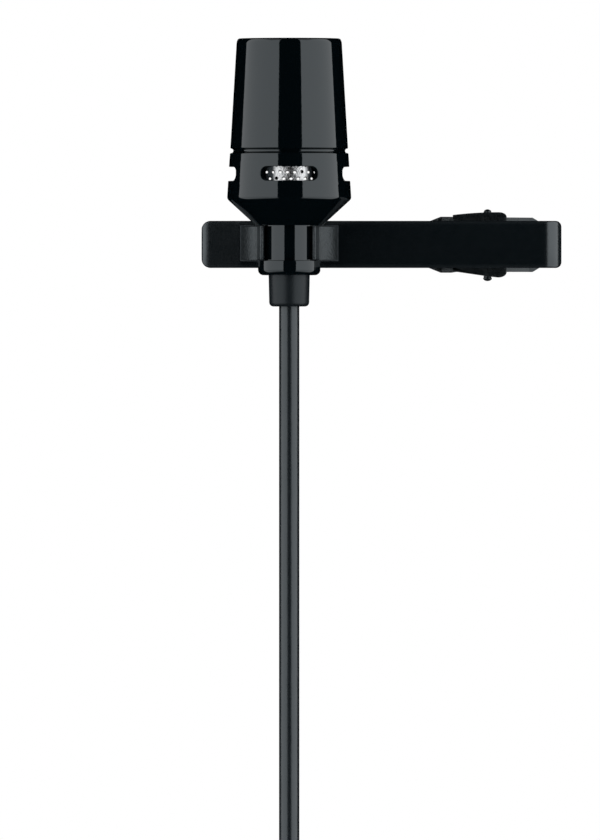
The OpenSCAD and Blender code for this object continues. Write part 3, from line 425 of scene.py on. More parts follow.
# The rim line on the holder paints the edges of its wings lighter: a painted highlight where they catch the
# light.
finish("holder_black", (0.0125, 0.016, 0.018), 0.38, size=0.16, spread=0.2, bump=1.0,
       rim=((0, 0, 0.11), (4.92, 0, 1.79), 0.12, (0.05, 0.058, 0.066)))
finish("bracket_black", (0.0025, 0.0042, 0.005), 0.3, size=0.25, spread=0.08, bump=0.3,
       worn=(0.02, 0.024, 0.026, 0.5), patch=0.8)
finish("pin_black", (0.003, 0.005, 0.006), 0.28, size=0.15, spread=0.05, bump=0.2,
       worn=(0.02, 0.023, 0.025, 0.4), patch=0.5)
finish("grille_black", (0.006, 0.007, 0.008), 0.35, size=0.1, spread=0.06, bump=0.25)
finish("plug_metal", (0.006, 0.007, 0.008), 0.34, size=0.12, spread=0.06, bump=0.15,
       worn=(0.02, 0.022, 0.024, 0.4), patch=2.0)
print("black finishes:", len(FINISHES))

# %% Rubber, plastic and cloth finishes
finish("cable_jacket", (0.0042, 0.0065, 0.0085), 0.29, ior=1.6, size=0.2, spread=0.04, bump=0.08,
       stretch=0.15)
finish("relief_rubber", (0.005, 0.0075, 0.0095), 0.37, ior=1.36, size=0.12, spread=0.06, bump=0.2)
finish("boot_rubber", (0.009, 0.010, 0.011), 0.5, size=0.12, spread=0.06, bump=0.25)
finish("gasket_rubber", (0.012, 0.012, 0.012), 0.6, size=0.15, spread=0.05, bump=0.3)
finish("insert_plastic", (0.008, 0.008, 0.009), 0.4, size=0.2, spread=0.04, bump=0.15)
finish("lead_sleeve", (0.010, 0.011, 0.012), 0.4, size=0.15, spread=0.04, bump=0.1)
finish("board_green", (0.012, 0.07, 0.03), 0.3, tint=NEUTRAL, size=0.4, spread=0.04, bump=0.1)
finish("acoustic_cloth", (0.012, 0.012, 0.012), 0.9, thread=0.18, bump=0.8)
finish("tie_strap", (0.012, 0.013, 0.015), 0.85, thread=0.32, bump=0.9)
print("finishes so far:", len(FINISHES))

# %% Bare metal finishes
STEEL = (0.5, 0.51, 0.52)
for name, colour, roughness, size, spread, bump, stretch in (
        ("mesh_steel", STEEL, 0.26, 0.13, 0.15, 0.9, 1.0),
        ("spring_steel", (0.42, 0.43, 0.44), 0.3, 0.1, 0.06, 0.15, 0.3),
        ("capsule_can", (0.72, 0.73, 0.74), 0.3, 0.2, 0.08, 0.12, 1.0),
        ("rivet_metal", (0.3, 0.31, 0.32), 0.35, 0.15, 0.08, 0.2, 1.0),
        ("clamp_metal", STEEL, 0.35, 0.15, 0.08, 0.2, 1.0),
        ("latch_metal", STEEL, 0.3, 0.12, 0.06, 0.15, 1.0),
        ("plug_sleeve", (0.58, 0.585, 0.59), 0.28, 0.15, 0.06, 0.12, 0.2),
        ("ferrule_brass", (0.6, 0.44, 0.2), 0.28, 0.15, 0.06, 0.12, 1.0),
        ("contact_gold", (0.85, 0.6, 0.25), 0.2, 0.15, 0.04, 0.06, 1.0)):
    finish(name, colour, roughness, 1.0, tint=NEUTRAL, size=size, spread=spread, bump=bump, stretch=stretch)
print("all finishes:", len(FINISHES))

# %% [markdown]
# The strip's colour is darkened towards each window's ends and left bright in the window's middle: a painted
# shade, where the slot's walls shade the strip. Its distance from the middle of the nearest window is the
# mask.

# %% Painted shade on the strip
WINDOW_X, SHADE_START, SHADE_END = 0.14, 1.35, 1.8
PAINTED_SHADE = (0.02, 0.024, 0.027, 1)
tree = FINISHES["mesh_steel"].node_tree
centred = vector_node(tree, "SUBTRACT", object_place(tree), (WINDOW_X * MM, MIC_Y * MM, 0))
split = split_node(tree, vector_node(tree, "ABSOLUTE", centred))
aside = math_node(tree, "MINIMUM", split["X"], split["Y"])
mask = ramp(tree, aside, SHADE_START * MM, SHADE_END * MM)
shaded_strip = mix_colours(tree, mask, (*STEEL, 1), PAINTED_SHADE)
tree.links.new(shaded_strip, tree.nodes["Principled BSDF"].inputs["Base Color"])
print("strip darkened from", SHADE_START, "to", SHADE_END, "mm beside each window's middle")

# %% [markdown]
# ## Helpers for meshes
# Machined and pressed parts are simple sweeps: a section turned round an axis, a sheet along a line, a plate
# between two levels. Each helper gives points in millimetres and faces, and one more makes the piece.

# %% Piece helper
MERGE, FLAT = 1e-7, 1e-8
REPLACED = set()


def add_piece(name, mesh_data, body, slot, *nodes, sharp=35.0):
    """A mesh piece from points in millimetres, with its body, the nodes it replaces and its finish.

    A piece that bends has (first body, second body, start, end) in the place of its body; these values are
    not used, and such a piece is attached to no body.
    """
    points, faces = mesh_data
    mesh = bpy.data.meshes.new(name)
    mesh.from_pydata([Vector(p) * MM for p in points], [], faces)
    work = bmesh.new()
    work.from_mesh(mesh)
    bmesh.ops.remove_doubles(work, verts=work.verts, dist=MERGE)
    bmesh.ops.dissolve_degenerate(work, edges=work.edges, dist=FLAT)
    bmesh.ops.recalc_face_normals(work, faces=work.faces)
    work.to_mesh(mesh)
    work.free()
    mesh.shade_smooth()
    mesh.set_sharp_from_angle(angle=radians(sharp))
    obj = bpy.data.objects.new(name, mesh)
    bpy.context.scene.collection.objects.link(obj)
    mesh.materials.append(FINISHES[slot])
    if isinstance(body, str):
        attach(obj, body)
    else:
        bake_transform(obj)
    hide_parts(*nodes)
    REPLACED.update(nodes)
    print(name + ":", len(mesh.polygons), "faces")
    return obj


# %% Sweep helpers
LEAST_EDGE = 0.05


def joined(*meshes):
    """Several (points, faces) as one."""
    points, faces = [], []
    for more, polygons in meshes:
        base = len(points)
        points += [tuple(p) for p in more]
        faces += [tuple(i + base for i in f) for f in polygons]
    return points, faces


def loft(rings, capped=True, closed=False):
    """Faces between rings of the same number of points."""
    count, total = len(rings[0]), len(rings)
    points = [tuple(p) for ring in rings for p in ring]
    faces = []
    for i in range(total if closed else total - 1):
        near, far = i * count, (i + 1) % total * count
        faces += [(near + k, near + (k + 1) % count, far + (k + 1) % count, far + k) for k in range(count)]
    if capped and not closed:
        faces += [tuple(range(count)), tuple(range((total - 1) * count, total * count))]
    return points, faces


def arc(x, y, r, start, end, steps):
    """Points of an arc, with angles in degrees."""
    return [(x + r * cos(radians(a)), y + r * sin(radians(a))) for a in even(start, end - start, steps)]


def round_rect(u0, u1, v0, v1, r, steps=3):
    """Points round a rectangle with rounded corners."""
    middles = ((u1 - r, v1 - r), (u0 + r, v1 - r), (u0 + r, v0 + r), (u1 - r, v0 + r))
    return [p for k, (u, v) in enumerate(middles) for p in arc(u, v, r, 90 * k, 90 * k + 90, steps)]


def sheet_mesh(stations, edge):
    """A bar of sheet along (inner point, outer point, half height), with broken edges all round."""
    def ring(station, inset, shift=0.0):
        inner, outer, half = Vector(station[0]), Vector(station[1]), station[2]
        across = outer - inner
        depth = across.length
        across.normalize()
        r = max(edge - inset, edge * LEAST_EDGE)
        return [(*(inner + across * u + Vector((shift, 0))), v)
                for u, v in round_rect(inset, depth - inset, inset - half, half - inset, r)]

    def end_rings(station, neighbour):
        run = neighbour[0][0] - station[0][0]
        if abs(run) < 1e-6:
            return [ring(station, 0)]
        side = copysign(edge, run)
        return [ring(station, edge * (1 - sin(t)), side * (1 - cos(t)))
                for t in (0, pi / 6, pi / 3, pi / 2)]

    rings = end_rings(stations[0], stations[1]) + [ring(s, 0) for s in stations[1:-1]]
    return loft(rings + end_rings(stations[-1], stations[-2])[::-1])


# %% Turned parts and tubes
ROUND_STEPS = 192


def turned_mesh(section, closed=True, steps=ROUND_STEPS, center=MIC_AXIS, shape=None):
    """A half section of (radius, height) swept round an upright axis. shape(share, r, z) may change r."""
    rings = []
    for i in range(steps):
        ring = [(shape(i / steps, r, z) if shape else r, z) for r, z in section]
        rings.append([round_point(360 * i / steps - 45, r, z, center) for r, z in ring])
    points, faces = loft(rings, closed=True)
    if not closed:
        count = len(section)
        faces = [f for n, f in enumerate(faces) if n % count != count - 1]
    return points, faces


def tube_mesh(points, radius, sides, up=Vector((0, 1, 0))):
    """A round tube along a route, with closed ends."""
    rings = []
    side = up.cross(points[1] - points[0]).normalized()
    for i, p in enumerate(points):
        along = (points[min(i + 1, len(points) - 1)] - points[max(i - 1, 0)]).normalized()
        side = (side - along * side.dot(along)).normalized()
        other = along.cross(side)
        angles = [2 * pi * k / sides for k in range(sides)]
        rings.append([p + radius * (cos(a) * side + sin(a) * other) for a in angles])
    return loft(rings)


def smooth_route(points, parts):
    """A curve through all points (Catmull-Rom), with so many parts between two of them."""
    out = []
    for i in range(len(points) - 1):
        a, b, c, d = points[max(i - 1, 0)], points[i], points[i + 1], points[min(i + 2, len(points) - 1)]
        for n in range(parts):
            t = n / parts
            out.append(0.5 * (2 * b + (c - a) * t + (2 * a - 5 * b + 4 * c - d) * t * t
                              + (3 * b - a - 3 * c + d) * t ** 3))
    out.append(points[-1])
    return out


# %% [markdown]
# ## The cable
# The cable leaves the sleeve under the head and hangs straight down. Its spare length is folded into a hank
# further down: four layers of two turns, tied at the waist, and its far end runs into the plug's boot. A
# curve object with a bevel could draw it.

# %% The cable's route
CABLE_R = 1.015
CABLE_TOP = -6.25
DROP_STEPS, TURN_IN = 14, 0.45
HANK = {
    "z": -95.0, "half": 19.5, "in_r": 6.3, "step": 2.75, "layer": 2.7, "layers": 4, "turns": 2,
    "waist": 4.5, "front": MIC_Y, "run": 3, "bend": 6, "entry": 8, "top": -62.0, "tail": 4.0,
}
TAIL = [
    (-1.8, 4.6, -101.1), (-1.5, 5.2, -104), (-0.9, 6.8, -107.3), (-0.4, 8.7, -110.5), (-0.1, 10.2, -113.2),
    (0, 10.9, -115.5), (0, 11, -117.5), (0, 11, -124), (0, 11, -132),
]


def ease(t):
    t = min(max(t, 0.0), 1.0)
    return t * t * (3 - 2 * t)


def hank_point(k):
    """The middle of the strand after k rings, counted from the waist of its first run."""
    h = HANK
    loop = 4 * h["run"] + 2 * h["bend"]
    s = k / loop
    j = k % loop
    layer = min(h["layers"] - 1, int(s / h["turns"] + 1e-9))
    u = s - layer * h["turns"]
    out_r = h["in_r"] + h["turns"] * h["step"]
    r = h["in_r"] + h["step"] * u if layer % 2 == 0 else out_r - h["step"] * u
    half_climb = h["run"] / loop
    climbs = sum(ease((s - m * h["turns"] + half_climb) / (2 * half_climb)) for m in range(1, h["layers"]))
    y = h["front"] + h["layer"] * (1 + climbs)
    half, run, bend = h["half"], h["run"], h["bend"]

    def straight(side, z):
        """On the left (-1) or the right (1), drawn in towards the waist."""
        pull = 0.0 if abs(z) >= half else h["waist"] * (1 + cos(pi * z / half)) / 2
        return Vector((side * (r - pull), y, h["z"] + z))

    def bent(side, n):
        """Round the foot (-1) or the top (1)."""
        a = pi * n / bend
        return Vector((side * r * cos(a), y, h["z"] + side * half + side * r * sin(a)))

    if j < run:
        return straight(-1, -half * j / run)
    if j < run + bend:
        return bent(-1, j - run)
    if j < 3 * run + bend:
        return straight(1, half * ((j - run - bend) / run - 1))
    if j < 3 * run + 2 * bend:
        return bent(1, j - 3 * run - bend)
    return straight(-1, half * (1 - (j - 3 * run - 2 * bend) / run))


def cable_route():
    h = HANK
    route = [Vector((0, MIC_Y, z)) for z in even(CABLE_TOP, h["top"] - CABLE_TOP, DROP_STEPS)[:-1]]
    first = hank_point(0)
    for i in range(h["entry"]):
        t = i / h["entry"]
        shift = ease((t - TURN_IN) / (1 - TURN_IN))
        route.append(Vector((first.x * shift, h["front"] + (first.y - h["front"]) * shift,
                             h["top"] + (h["z"] - h["top"]) * t)))
    rings = h["layers"] * h["turns"] * (4 * h["run"] + 2 * h["bend"])
    route += [hank_point(k) for k in range(rings + 1)]
    end = hank_point(rings)
    route += [end - Vector((0, 0, t * h["tail"])) for t in (0.5, 1.0)]
    return route + [Vector(p) for p in TAIL]


route = smooth_route(cable_route(), 4)

# %% The cable and its held end
CABLE_SIDES = 16
HELD_TOP = 2.9
cable = add_piece("cable", tube_mesh(route, CABLE_R, CABLE_SIDES), "microphone", "cable_jacket",
                  "cable_drop", "cable_hank", "cable_tail")
held_route = [Vector((*MIC_AXIS, z)) for z in (CABLE_TOP, HELD_TOP)]
add_piece("cable_held_end", tube_mesh(held_route, CABLE_R, CABLE_SIDES), "microphone", "cable_jacket",
          "cable_end")

# %% [markdown]
# ## The strap
# A hook-and-loop strap goes round the hank's waist. It is one flat woven band whose end laps over its start,
# so the band is thinner than the space it takes where it lies single. A loft of small rounded sections along
# an oblong path gives it soft edges, and the weave comes from its finish.

# %% Strap
TIE_Z, TIE_HALF = HANK["z"], 1.7
TIE_MIDDLE = (0.0, HANK["front"] + 2.5 * HANK["layer"])
TIE_SIZE = (8.515, 5.265)
TIE_TURN_R = 1.1
BAND_T, BAND_EDGE, LAP_GAP = 0.42, 0.15, 0.03
LAP_START, LAP_END = 4, 34


def band_path(grow, steps=10):
    """Points and outward directions round the hank, for a band that lies so far out."""
    x, y = TIE_SIZE[0] - TIE_TURN_R, TIE_SIZE[1] - TIE_TURN_R
    path = []
    for (sx, sy), start in zip(((1, 1), (-1, 1), (-1, -1), (1, -1)), (0, 90, 180, 270)):
        for a in even(start, 90, steps):
            out = Vector((cos(radians(a)), sin(radians(a))))
            path.append((Vector(TIE_MIDDLE) + Vector((sx * x, sy * y)) + out * (TIE_TURN_R + grow), out))
    return path


def band_mesh(path, closed):
    section = round_rect(0, BAND_T, -TIE_HALF, TIE_HALF, BAND_EDGE)
    return loft([[(*(p + out * u), TIE_Z + v) for u, v in section] for p, out in path], closed=closed)


lap = band_path(BAND_T + LAP_GAP)[LAP_START:LAP_END]
tie = add_piece("strap", joined(band_mesh(band_path(0.0), True), band_mesh(lap, False)), "microphone",
                "tie_strap", "cable_tie")

# %% [markdown]
# ## The cap
# The cap is turned from brass and lacquered. Its top edge and its foot are rounded, and there the strips of
# light bend and end softly. A cone with a bevel would do from afar; the section below has the true radii.

# %% Cap
HEAD_TOP, CAP_FOOT = 20.55, 9.54
CAP_TOP_R, CAP_FOOT_R, CAP_BORE_R = 5.25, 5.88, 4.9
LIP_R, LIP_FOOT = 4.5, 20.05
RIM_R, SHOULDER_R, SHOULDER_TURN = 0.25, 1.0, 26.0
CAP_EDGE_R, EDGE_R = 0.08, 0.12
LIP_EDGE, SHOULDER_OUT = 0.05, 0.02

turn = radians(SHOULDER_TURN)
shoulder_foot = HEAD_TOP - RIM_R * (1 - sin(turn)) - SHOULDER_R * sin(turn)
shoulder_middle = (CAP_TOP_R + SHOULDER_OUT - SHOULDER_R, shoulder_foot)
rim_middle = (shoulder_middle[0] + (SHOULDER_R - RIM_R) * cos(turn),
              shoulder_foot + (SHOULDER_R - RIM_R) * sin(turn))
cap_section = (
    [(LIP_R, LIP_FOOT), (LIP_R, HEAD_TOP - LIP_EDGE), (LIP_R + LIP_EDGE, HEAD_TOP)]
    + arc(*rim_middle, RIM_R, 90, SHOULDER_TURN, 10)
    + arc(*shoulder_middle, SHOULDER_R, SHOULDER_TURN, 3, 12)[1:]
    + arc(CAP_FOOT_R - CAP_EDGE_R, CAP_FOOT + CAP_EDGE_R, CAP_EDGE_R, 0, -90, 6)
    + [(CAP_BORE_R, CAP_FOOT), (CAP_BORE_R, LIP_FOOT)]
)
add_piece("cap", turned_mesh(cap_section), "microphone", "head_lacquer", "head_cap")

# %% [markdown]
# ## The slotted housing
# Four slots let sound in at the side. Cutting them with booleans leaves long thin triangles that ripple in
# gloss lacquer, so the band with the slots is laid out: loops of points lead from a plain rectangle
# to the rounded slot, over its broken edge and through the wall. Above and below it the housing is turned.

# %% Housing sizes
SPIGOT_TOP, SPIGOT_R, BORE_R = 13.15, 4.88, 4.38
HOUSING_TOP, GROOVE_R, HOUSING_TOP_R, HOUSING_R = 9.09, 5.59, 5.93, 6.2
GROOVE_HALF = (CAP_FOOT - HOUSING_TOP) / 2
CORNER_Z, BLEND_R = 4.51, 0.5
CONE_FOOT, CONE_FOOT_R = 1.85, 3.33
CONE_TILT = degrees(atan((HOUSING_R - CONE_FOOT_R) / (CORNER_Z - CONE_FOOT)))
BLEND_Z = CORNER_Z + BLEND_R * tan(radians(90 - CONE_TILT) / 2)
NECK_R, COLLAR_TOP, COLLAR_FOOT, COLLAR_R = 2.6, -1.64, -3.12, 3.12
INNER_R, NECK_BORE_R, SOCKET_R, SOCKET_TOP = 5.37, 1.6, 1.95, -1.3
INSIDE_TOP, INSIDE_STEP, INSIDE_FOOT, NECK_BORE_TOP = 9.0, 8.67, 5.16, 1.56
COLLAR_EDGE, COLLAR_ROUND, CONE_EDGE = 0.1, 0.55, 0.04
SLOT_MID, SLOT_R, SLOT_REACH = 7.01, 0.71, 28.4
SLOT_END = SLOT_REACH - degrees(asin(SLOT_R / HOUSING_R))
BAND_LOW, BAND_HIGH = 5.85, 8.3
SLOT_EDGE = 0.05
LONG_STEPS, END_STEPS = 48, 12
print("cone tilt", round(CONE_TILT, 1), "degrees, bend starts at", round(BLEND_Z, 2), "mm")


# %% Slotted band
def wall_r(z):
    """Radius of the housing's outer face at a height of the slotted band."""
    return HOUSING_TOP_R + (HOUSING_R - HOUSING_TOP_R) * (HOUSING_TOP - z) / (HOUSING_TOP - BLEND_Z)


def slot_loop(grow):
    """(angle, height) round one slot, starting at its upper left corner."""
    r = SLOT_R + grow
    loop = [(a, SLOT_MID + r) for a in even(-SLOT_END, 2 * SLOT_END, LONG_STEPS)[:-1]]
    loop += [(SLOT_END + degrees(asin(r * sin(pi * i / END_STEPS) / HOUSING_R)),
              SLOT_MID + r * cos(pi * i / END_STEPS)) for i in range(END_STEPS)]
    return loop + [(-a, 2 * SLOT_MID - z) for a, z in loop]


def band_loop():
    """(angle, height) round a quarter of the band, step by step beside slot_loop."""
    loop = [(a, BAND_HIGH) for a in even(-45, 90, LONG_STEPS)[:-1]]
    loop += [(45, z) for z in even(BAND_HIGH, BAND_LOW - BAND_HIGH, END_STEPS)[:-1]]
    return loop + [(-a, BAND_HIGH + BAND_LOW - z) for a, z in loop]


def slotted_quarter(turn):
    """A quarter of the band, with its slot and the slot's broken edge."""
    outside, edge = band_loop(), slot_loop(SLOT_EDGE)
    loops = []
    for n in range(7):
        t = n / 6
        loops.append([(a + (c - a) * t, z + (w - z) * t, 0.0) for (a, z), (c, w) in zip(outside, edge)])
    for n in range(1, 4):
        t = radians(30 * n)
        edge_loop = slot_loop(SLOT_EDGE * (1 - sin(t)))
        loops.append([(a, z, SLOT_EDGE * (1 - cos(t))) for a, z in edge_loop])
    loops.append([(a, z, None) for a, z in slot_loop(0)])
    loops.append([(a, z, None) for a, z in outside])
    return loft([[round_point(a + turn, INNER_R if depth is None else wall_r(z) - depth, z, MIC_AXIS)
                  for a, z, depth in loop] for loop in loops], capped=False)


# %% Housing
upper_section = (
    [(wall_r(BAND_HIGH), BAND_HIGH)]
    + arc(HOUSING_TOP_R - EDGE_R, HOUSING_TOP - EDGE_R, EDGE_R, 0, 90, 8)
    + arc(GROOVE_R + GROOVE_HALF, HOUSING_TOP + GROOVE_HALF, GROOVE_HALF, 270, 90, 16)
    + [(SPIGOT_R, CAP_FOOT), (SPIGOT_R, SPIGOT_TOP),
       (BORE_R, SPIGOT_TOP), (BORE_R, INSIDE_TOP), (INNER_R, INSIDE_STEP), (INNER_R, BAND_HIGH)]
)
lower_section = (
    [(wall_r(BAND_LOW), BAND_LOW)]
    + arc(HOUSING_R - BLEND_R, BLEND_Z, BLEND_R, 0, CONE_TILT - 90, 14)
    + [(CONE_FOOT_R + CONE_EDGE, CONE_FOOT + CONE_EDGE), (CONE_FOOT_R, CONE_FOOT),
       (NECK_R, CONE_FOOT), (NECK_R, COLLAR_TOP)]
    + arc(COLLAR_R - COLLAR_EDGE, COLLAR_TOP - COLLAR_EDGE, COLLAR_EDGE, 90, 0, 5)
    + arc(COLLAR_R - COLLAR_ROUND, COLLAR_FOOT + COLLAR_ROUND, COLLAR_ROUND, 0, -90, 10)
    + [(SOCKET_R, COLLAR_FOOT), (SOCKET_R, SOCKET_TOP), (NECK_BORE_R, SOCKET_TOP),
       (NECK_BORE_R, NECK_BORE_TOP), (INNER_R, INSIDE_FOOT), (INNER_R, BAND_LOW)]
)
add_piece("housing", joined(
    turned_mesh(upper_section, closed=False), turned_mesh(lower_section, closed=False),
    *[slotted_quarter(90 * k) for k in range(4)]), "microphone", "head_lacquer", "lower_housing")

# %% [markdown]
# ## The perforated strip
# Behind the slots lies a strip of thin steel, rolled up and sprung against the bore. It bulges a little in
# each window, so it catches the lamps in bright patches, and a painted shade darkens it towards each window's
# ends, which keeps the patches short. Each hole has its own cell of faces. Front and rear holes line up, and
# some show the light behind the head.

# %% Perforated strip
STRIP_R, STRIP_T = 5.34, 0.15
STRIP_LOW, STRIP_HIGH = 5.85, 8.28
HOLES, HOLE_R, ROW_STEP, ROW_SHIFT, CELL_SIDE = 45, 0.18, 0.65, 0.25, 3
STRIP_MID = 7.18
BULGE, BULGE_TURN, WINDOW = 0.085, 2.9, 29.0


def strip_r(angle):
    """Radius of the strip at an angle. It is least beside the window's middle."""
    a = (angle + 45) % 90 - 45
    if abs(a) > WINDOW:
        a = WINDOW
    return STRIP_R - BULGE * (1 - cos(radians(180 * (a - BULGE_TURN) / WINDOW)))


def strip_mesh():
    """Cells with a round hole each, the middle row set off by half a cell, and plain edges."""
    pitch = 360 / HOLES
    meshes = []

    def ring(loop, depth):
        return [round_point(a, strip_r(a) - depth, z, MIC_AXIS) for a, z in loop]

    for row in (-1, 0, 1):
        middle = STRIP_MID + row * ROW_STEP
        for n in range(HOLES):
            turn = (n + (-ROW_SHIFT if row == 0 else ROW_SHIFT)) * pitch
            cell, hole = [], []
            for k in range(4 * CELL_SIDE):
                edge, along = divmod(k, CELL_SIDE)
                t = 2 * along / CELL_SIDE - 1
                x, y = ((t, 1), (1, -t), (-t, -1), (-1, t))[edge]
                cell.append((turn + x * pitch / 2, middle + y * ROW_STEP / 2))
                b = atan2(y, x)
                hole.append((turn + degrees(HOLE_R * cos(b) / STRIP_R),
                             middle + HOLE_R * sin(b)))
            meshes.append(loft([ring(cell, 0), ring(hole, 0), ring(hole, STRIP_T), ring(cell, STRIP_T)],
                               capped=False))
    for low, high in ((STRIP_LOW, STRIP_MID - 1.5 * ROW_STEP), (STRIP_MID + 1.5 * ROW_STEP, STRIP_HIGH)):
        section = [(STRIP_R, low), (STRIP_R, high), (STRIP_R - STRIP_T, high), (STRIP_R - STRIP_T, low)]
        meshes.append(turned_mesh(section, steps=3 * HOLES, shape=lambda share, r, z: (
            strip_r(360 * share - 45) + r - STRIP_R)))
    return joined(*meshes)


add_piece("perforated_strip", strip_mesh(), "microphone", "mesh_steel", "mesh_sleeve")

# %% [markdown]
# ## The sleeve on the cable
# A soft sleeve keeps the cable from kinking where it leaves the head. It is moulded rubber with a rounded
# foot and a slight taper, which shows in the way it dims towards its edges.

# %% Sleeve
RELIEF_TOP_R, RELIEF_FOOT_R, RELIEF_EDGE, RELIEF_SPIGOT_R = 2.06, 2.0, 0.42, 1.92
MOUTH_OPEN, MOUTH_DEPTH = 0.1, 0.08
sleeve_section = (
    [(CABLE_R, SOCKET_TOP), (RELIEF_SPIGOT_R, SOCKET_TOP), (RELIEF_SPIGOT_R, COLLAR_FOOT),
     (RELIEF_TOP_R, COLLAR_FOOT)]
    + arc(RELIEF_FOOT_R - RELIEF_EDGE, CABLE_TOP + RELIEF_EDGE, RELIEF_EDGE, 0, -90, 12)
    + [(CABLE_R + MOUTH_OPEN, CABLE_TOP), (CABLE_R, CABLE_TOP + MOUTH_DEPTH)]
)
add_piece("cable_sleeve", turned_mesh(sleeve_section, steps=96), "microphone", "relief_rubber",
          "strain_relief")

# %% [markdown]
# ## The clip's bar
# The bar is a strip of sheet with rounded corners. One end is bent over, which stiffens it and catches a
# band of light. Its broken edges matter more than their size: without them the bar looks like a cut-out.

# %% Bar
BAR_LEFT, BAR_RIGHT, BAR_HALF, BAR_T = -8.79, 27.3, 2.36, 1.2
BEND_R, BEND_REACH = 1.75, 1.2
TOOTH_START, TOOTH_PITCH, TOOTH_COUNT, TOOTH_DEPTH = 0.9, 0.8, 5, 0.3
BOW_X, BOW_SLOPE = -4.9, 0.09
BAR_LEFT_ROUND, BAR_RIGHT_ROUND, NOSE_R, BAR_EDGE = 0.9, 0.4, 0.45, 0.2
GRIP_START = BAR_LEFT + TOOTH_START
TOOTH_XS = [GRIP_START + TOOTH_PITCH * i / 4 for i in range(4 * TOOTH_COUNT + 1)]
NOSE_XS, FLAT_XS = (0.68, 0.78), range(-3, 26, 2)


def bar_half(x):
    """Half the bar's height at x, with its rounded corners."""
    for reach, r in ((x - BAR_LEFT, BAR_LEFT_ROUND), (BAR_RIGHT - x, BAR_RIGHT_ROUND)):
        if reach < r:
            return BAR_HALF - r + sqrt(max(r * r - (r - reach) ** 2, 0))
    return BAR_HALF


def tooth_y(x):
    """Height of the zigzag of teeth at x, from 0 to the teeth's depth."""
    t = (x - GRIP_START) / TOOTH_PITCH
    return TOOTH_DEPTH * (1 - abs(2 * (t % 1) - 1)) if 0 < t < TOOTH_COUNT else 0.0


def bar_stations():
    bend_x, bend_y = BAR_RIGHT - BEND_R, BEND_R - BAR_T
    along = [BAR_LEFT + NOSE_R * (1 - cos(radians(9 * i))) for i in range(11)]
    along += [*(BAR_LEFT + x for x in NOSE_XS), *TOOTH_XS, *FLAT_XS]
    stations = []
    for x in along:
        dip = NOSE_R - sqrt(max(NOSE_R ** 2 - max(NOSE_R - (x - BAR_LEFT), 0) ** 2, 0))
        dip += max(BOW_X - x, 0) * BOW_SLOPE
        stations.append(((x, -tooth_y(x)), (x, -BAR_T + dip), bar_half(x)))
    inner, outer = (arc(bend_x, bend_y, r, -90, 0, 14) for r in (BEND_R - BAR_T, BEND_R))
    stations += [(p, q, bar_half(q[0])) for p, q in zip(inner, outer)]
    end_half = BAR_HALF - BAR_RIGHT_ROUND
    return stations + [((BAR_RIGHT - BAR_T, BEND_REACH), (BAR_RIGHT, BEND_REACH), end_half)]


add_piece("bar", sheet_mesh(bar_stations(), BAR_EDGE), "clip", "clip_black", "front_bar")

# %% [markdown]
# ## The holder
# The neck snaps into a split ring with two flared lips. The ring stands on two wings that lie on the bar and
# climb to it in a hollow curve. The piece is one outline, extruded, plus the flat wings; its matte grain
# brightens where the curve turns towards the lamps.

# %% Holder
RING_R, LIP_BALL = 2.65, 0.275
WING_HALF, WING_STEP, WING_Y = 4.92, 0.12, -1.5
WING_LOW, WING_HIGH = -1.68, 1.9
RING_LOW, RING_HIGH = -1.58, 1.79
FLARE_Y, FLARE_R, LIP_TURN = 1.8, 0.2, 68.7
HOLDER_BACK, RAMP_Y, PLATE_EDGE = -1.2, -1.56, 0.05
LEFT_SIDE = {"ring": 3.2, "flare": 2.74, "rise": 0.62, "power": 3.2}
RIGHT_SIDE = {"ring": 3.0, "flare": 2.5, "rise": 0.92, "power": 2.1}


def plate_mesh(outline, low, high, edge):
    """An outline with a broken edge, extruded from one level to another."""
    normals = []
    for a, b, c in zip(outline[-1:] + outline[:-1], outline, outline[1:] + outline[:1]):
        first, second = (Vector(b) - Vector(a)).normalized(), (Vector(c) - Vector(b)).normalized()
        normals.append((Vector((first.y, -first.x)) + Vector((second.y, -second.x))).normalized())
    area = sum(p[0] * q[1] - q[0] * p[1] for p, q in zip(outline, outline[1:] + outline[:1]))
    sign = 1 if area > 0 else -1

    def ring(inset, z):
        return [(p[0] - sign * n.x * inset, p[1] - sign * n.y * inset, z) for p, n in zip(outline, normals)]

    turns = [radians(30 * n) for n in range(4)]
    steps = [(edge * (1 - sin(t)), edge * (1 - cos(t))) for t in turns]
    return loft([ring(inset, low + rise) for inset, rise in steps]
                + [ring(inset, high - rise) for inset, rise in reversed(steps)])


def holder_side(form):
    """The left half of the holder's outline, from the wing round the lip to the bore's back."""
    ring, start = form["ring"], WING_HALF - WING_STEP
    side = [(-start, HOLDER_BACK)]
    side += [(-start + (start - ring) * i / 16, RAMP_Y - form["rise"] * (i / 16) ** form["power"])
             for i in range(17)]
    side += arc(0, MIC_Y, ring, 180, 199, 6)
    side += arc(-form["flare"], MIC_Y - FLARE_Y, FLARE_R, 180, 360, 10)
    lip_a, lip_reach = radians(270 - LIP_TURN), RING_R + LIP_BALL
    root = (lip_reach * cos(lip_a) + LIP_BALL, MIC_Y + lip_reach * sin(lip_a))
    return side + [root] + arc(0, MIC_Y, RING_R, 201, 90, 24)


holder_outline = holder_side(LEFT_SIDE) + [(-x, y) for x, y in reversed(holder_side(RIGHT_SIDE)[:-1])]
wing_outline = [(WING_HALF, HOLDER_BACK), (WING_HALF, WING_Y), (-WING_HALF, WING_Y),
                (-WING_HALF, HOLDER_BACK)]
add_piece("holder", joined(plate_mesh(holder_outline, RING_LOW, RING_HIGH, PLATE_EDGE),
                           plate_mesh(wing_outline, WING_LOW, WING_HIGH, PLATE_EDGE)),
          "clip", "holder_black", "mic_holder")

# %% [markdown]
# ## The hinge
# A bracket behind the bar carries the pin between two bowed ears, and the pin's domed ends stand out of
# them. Each ear is a band that bends outwards, so its thickness and height change along it.

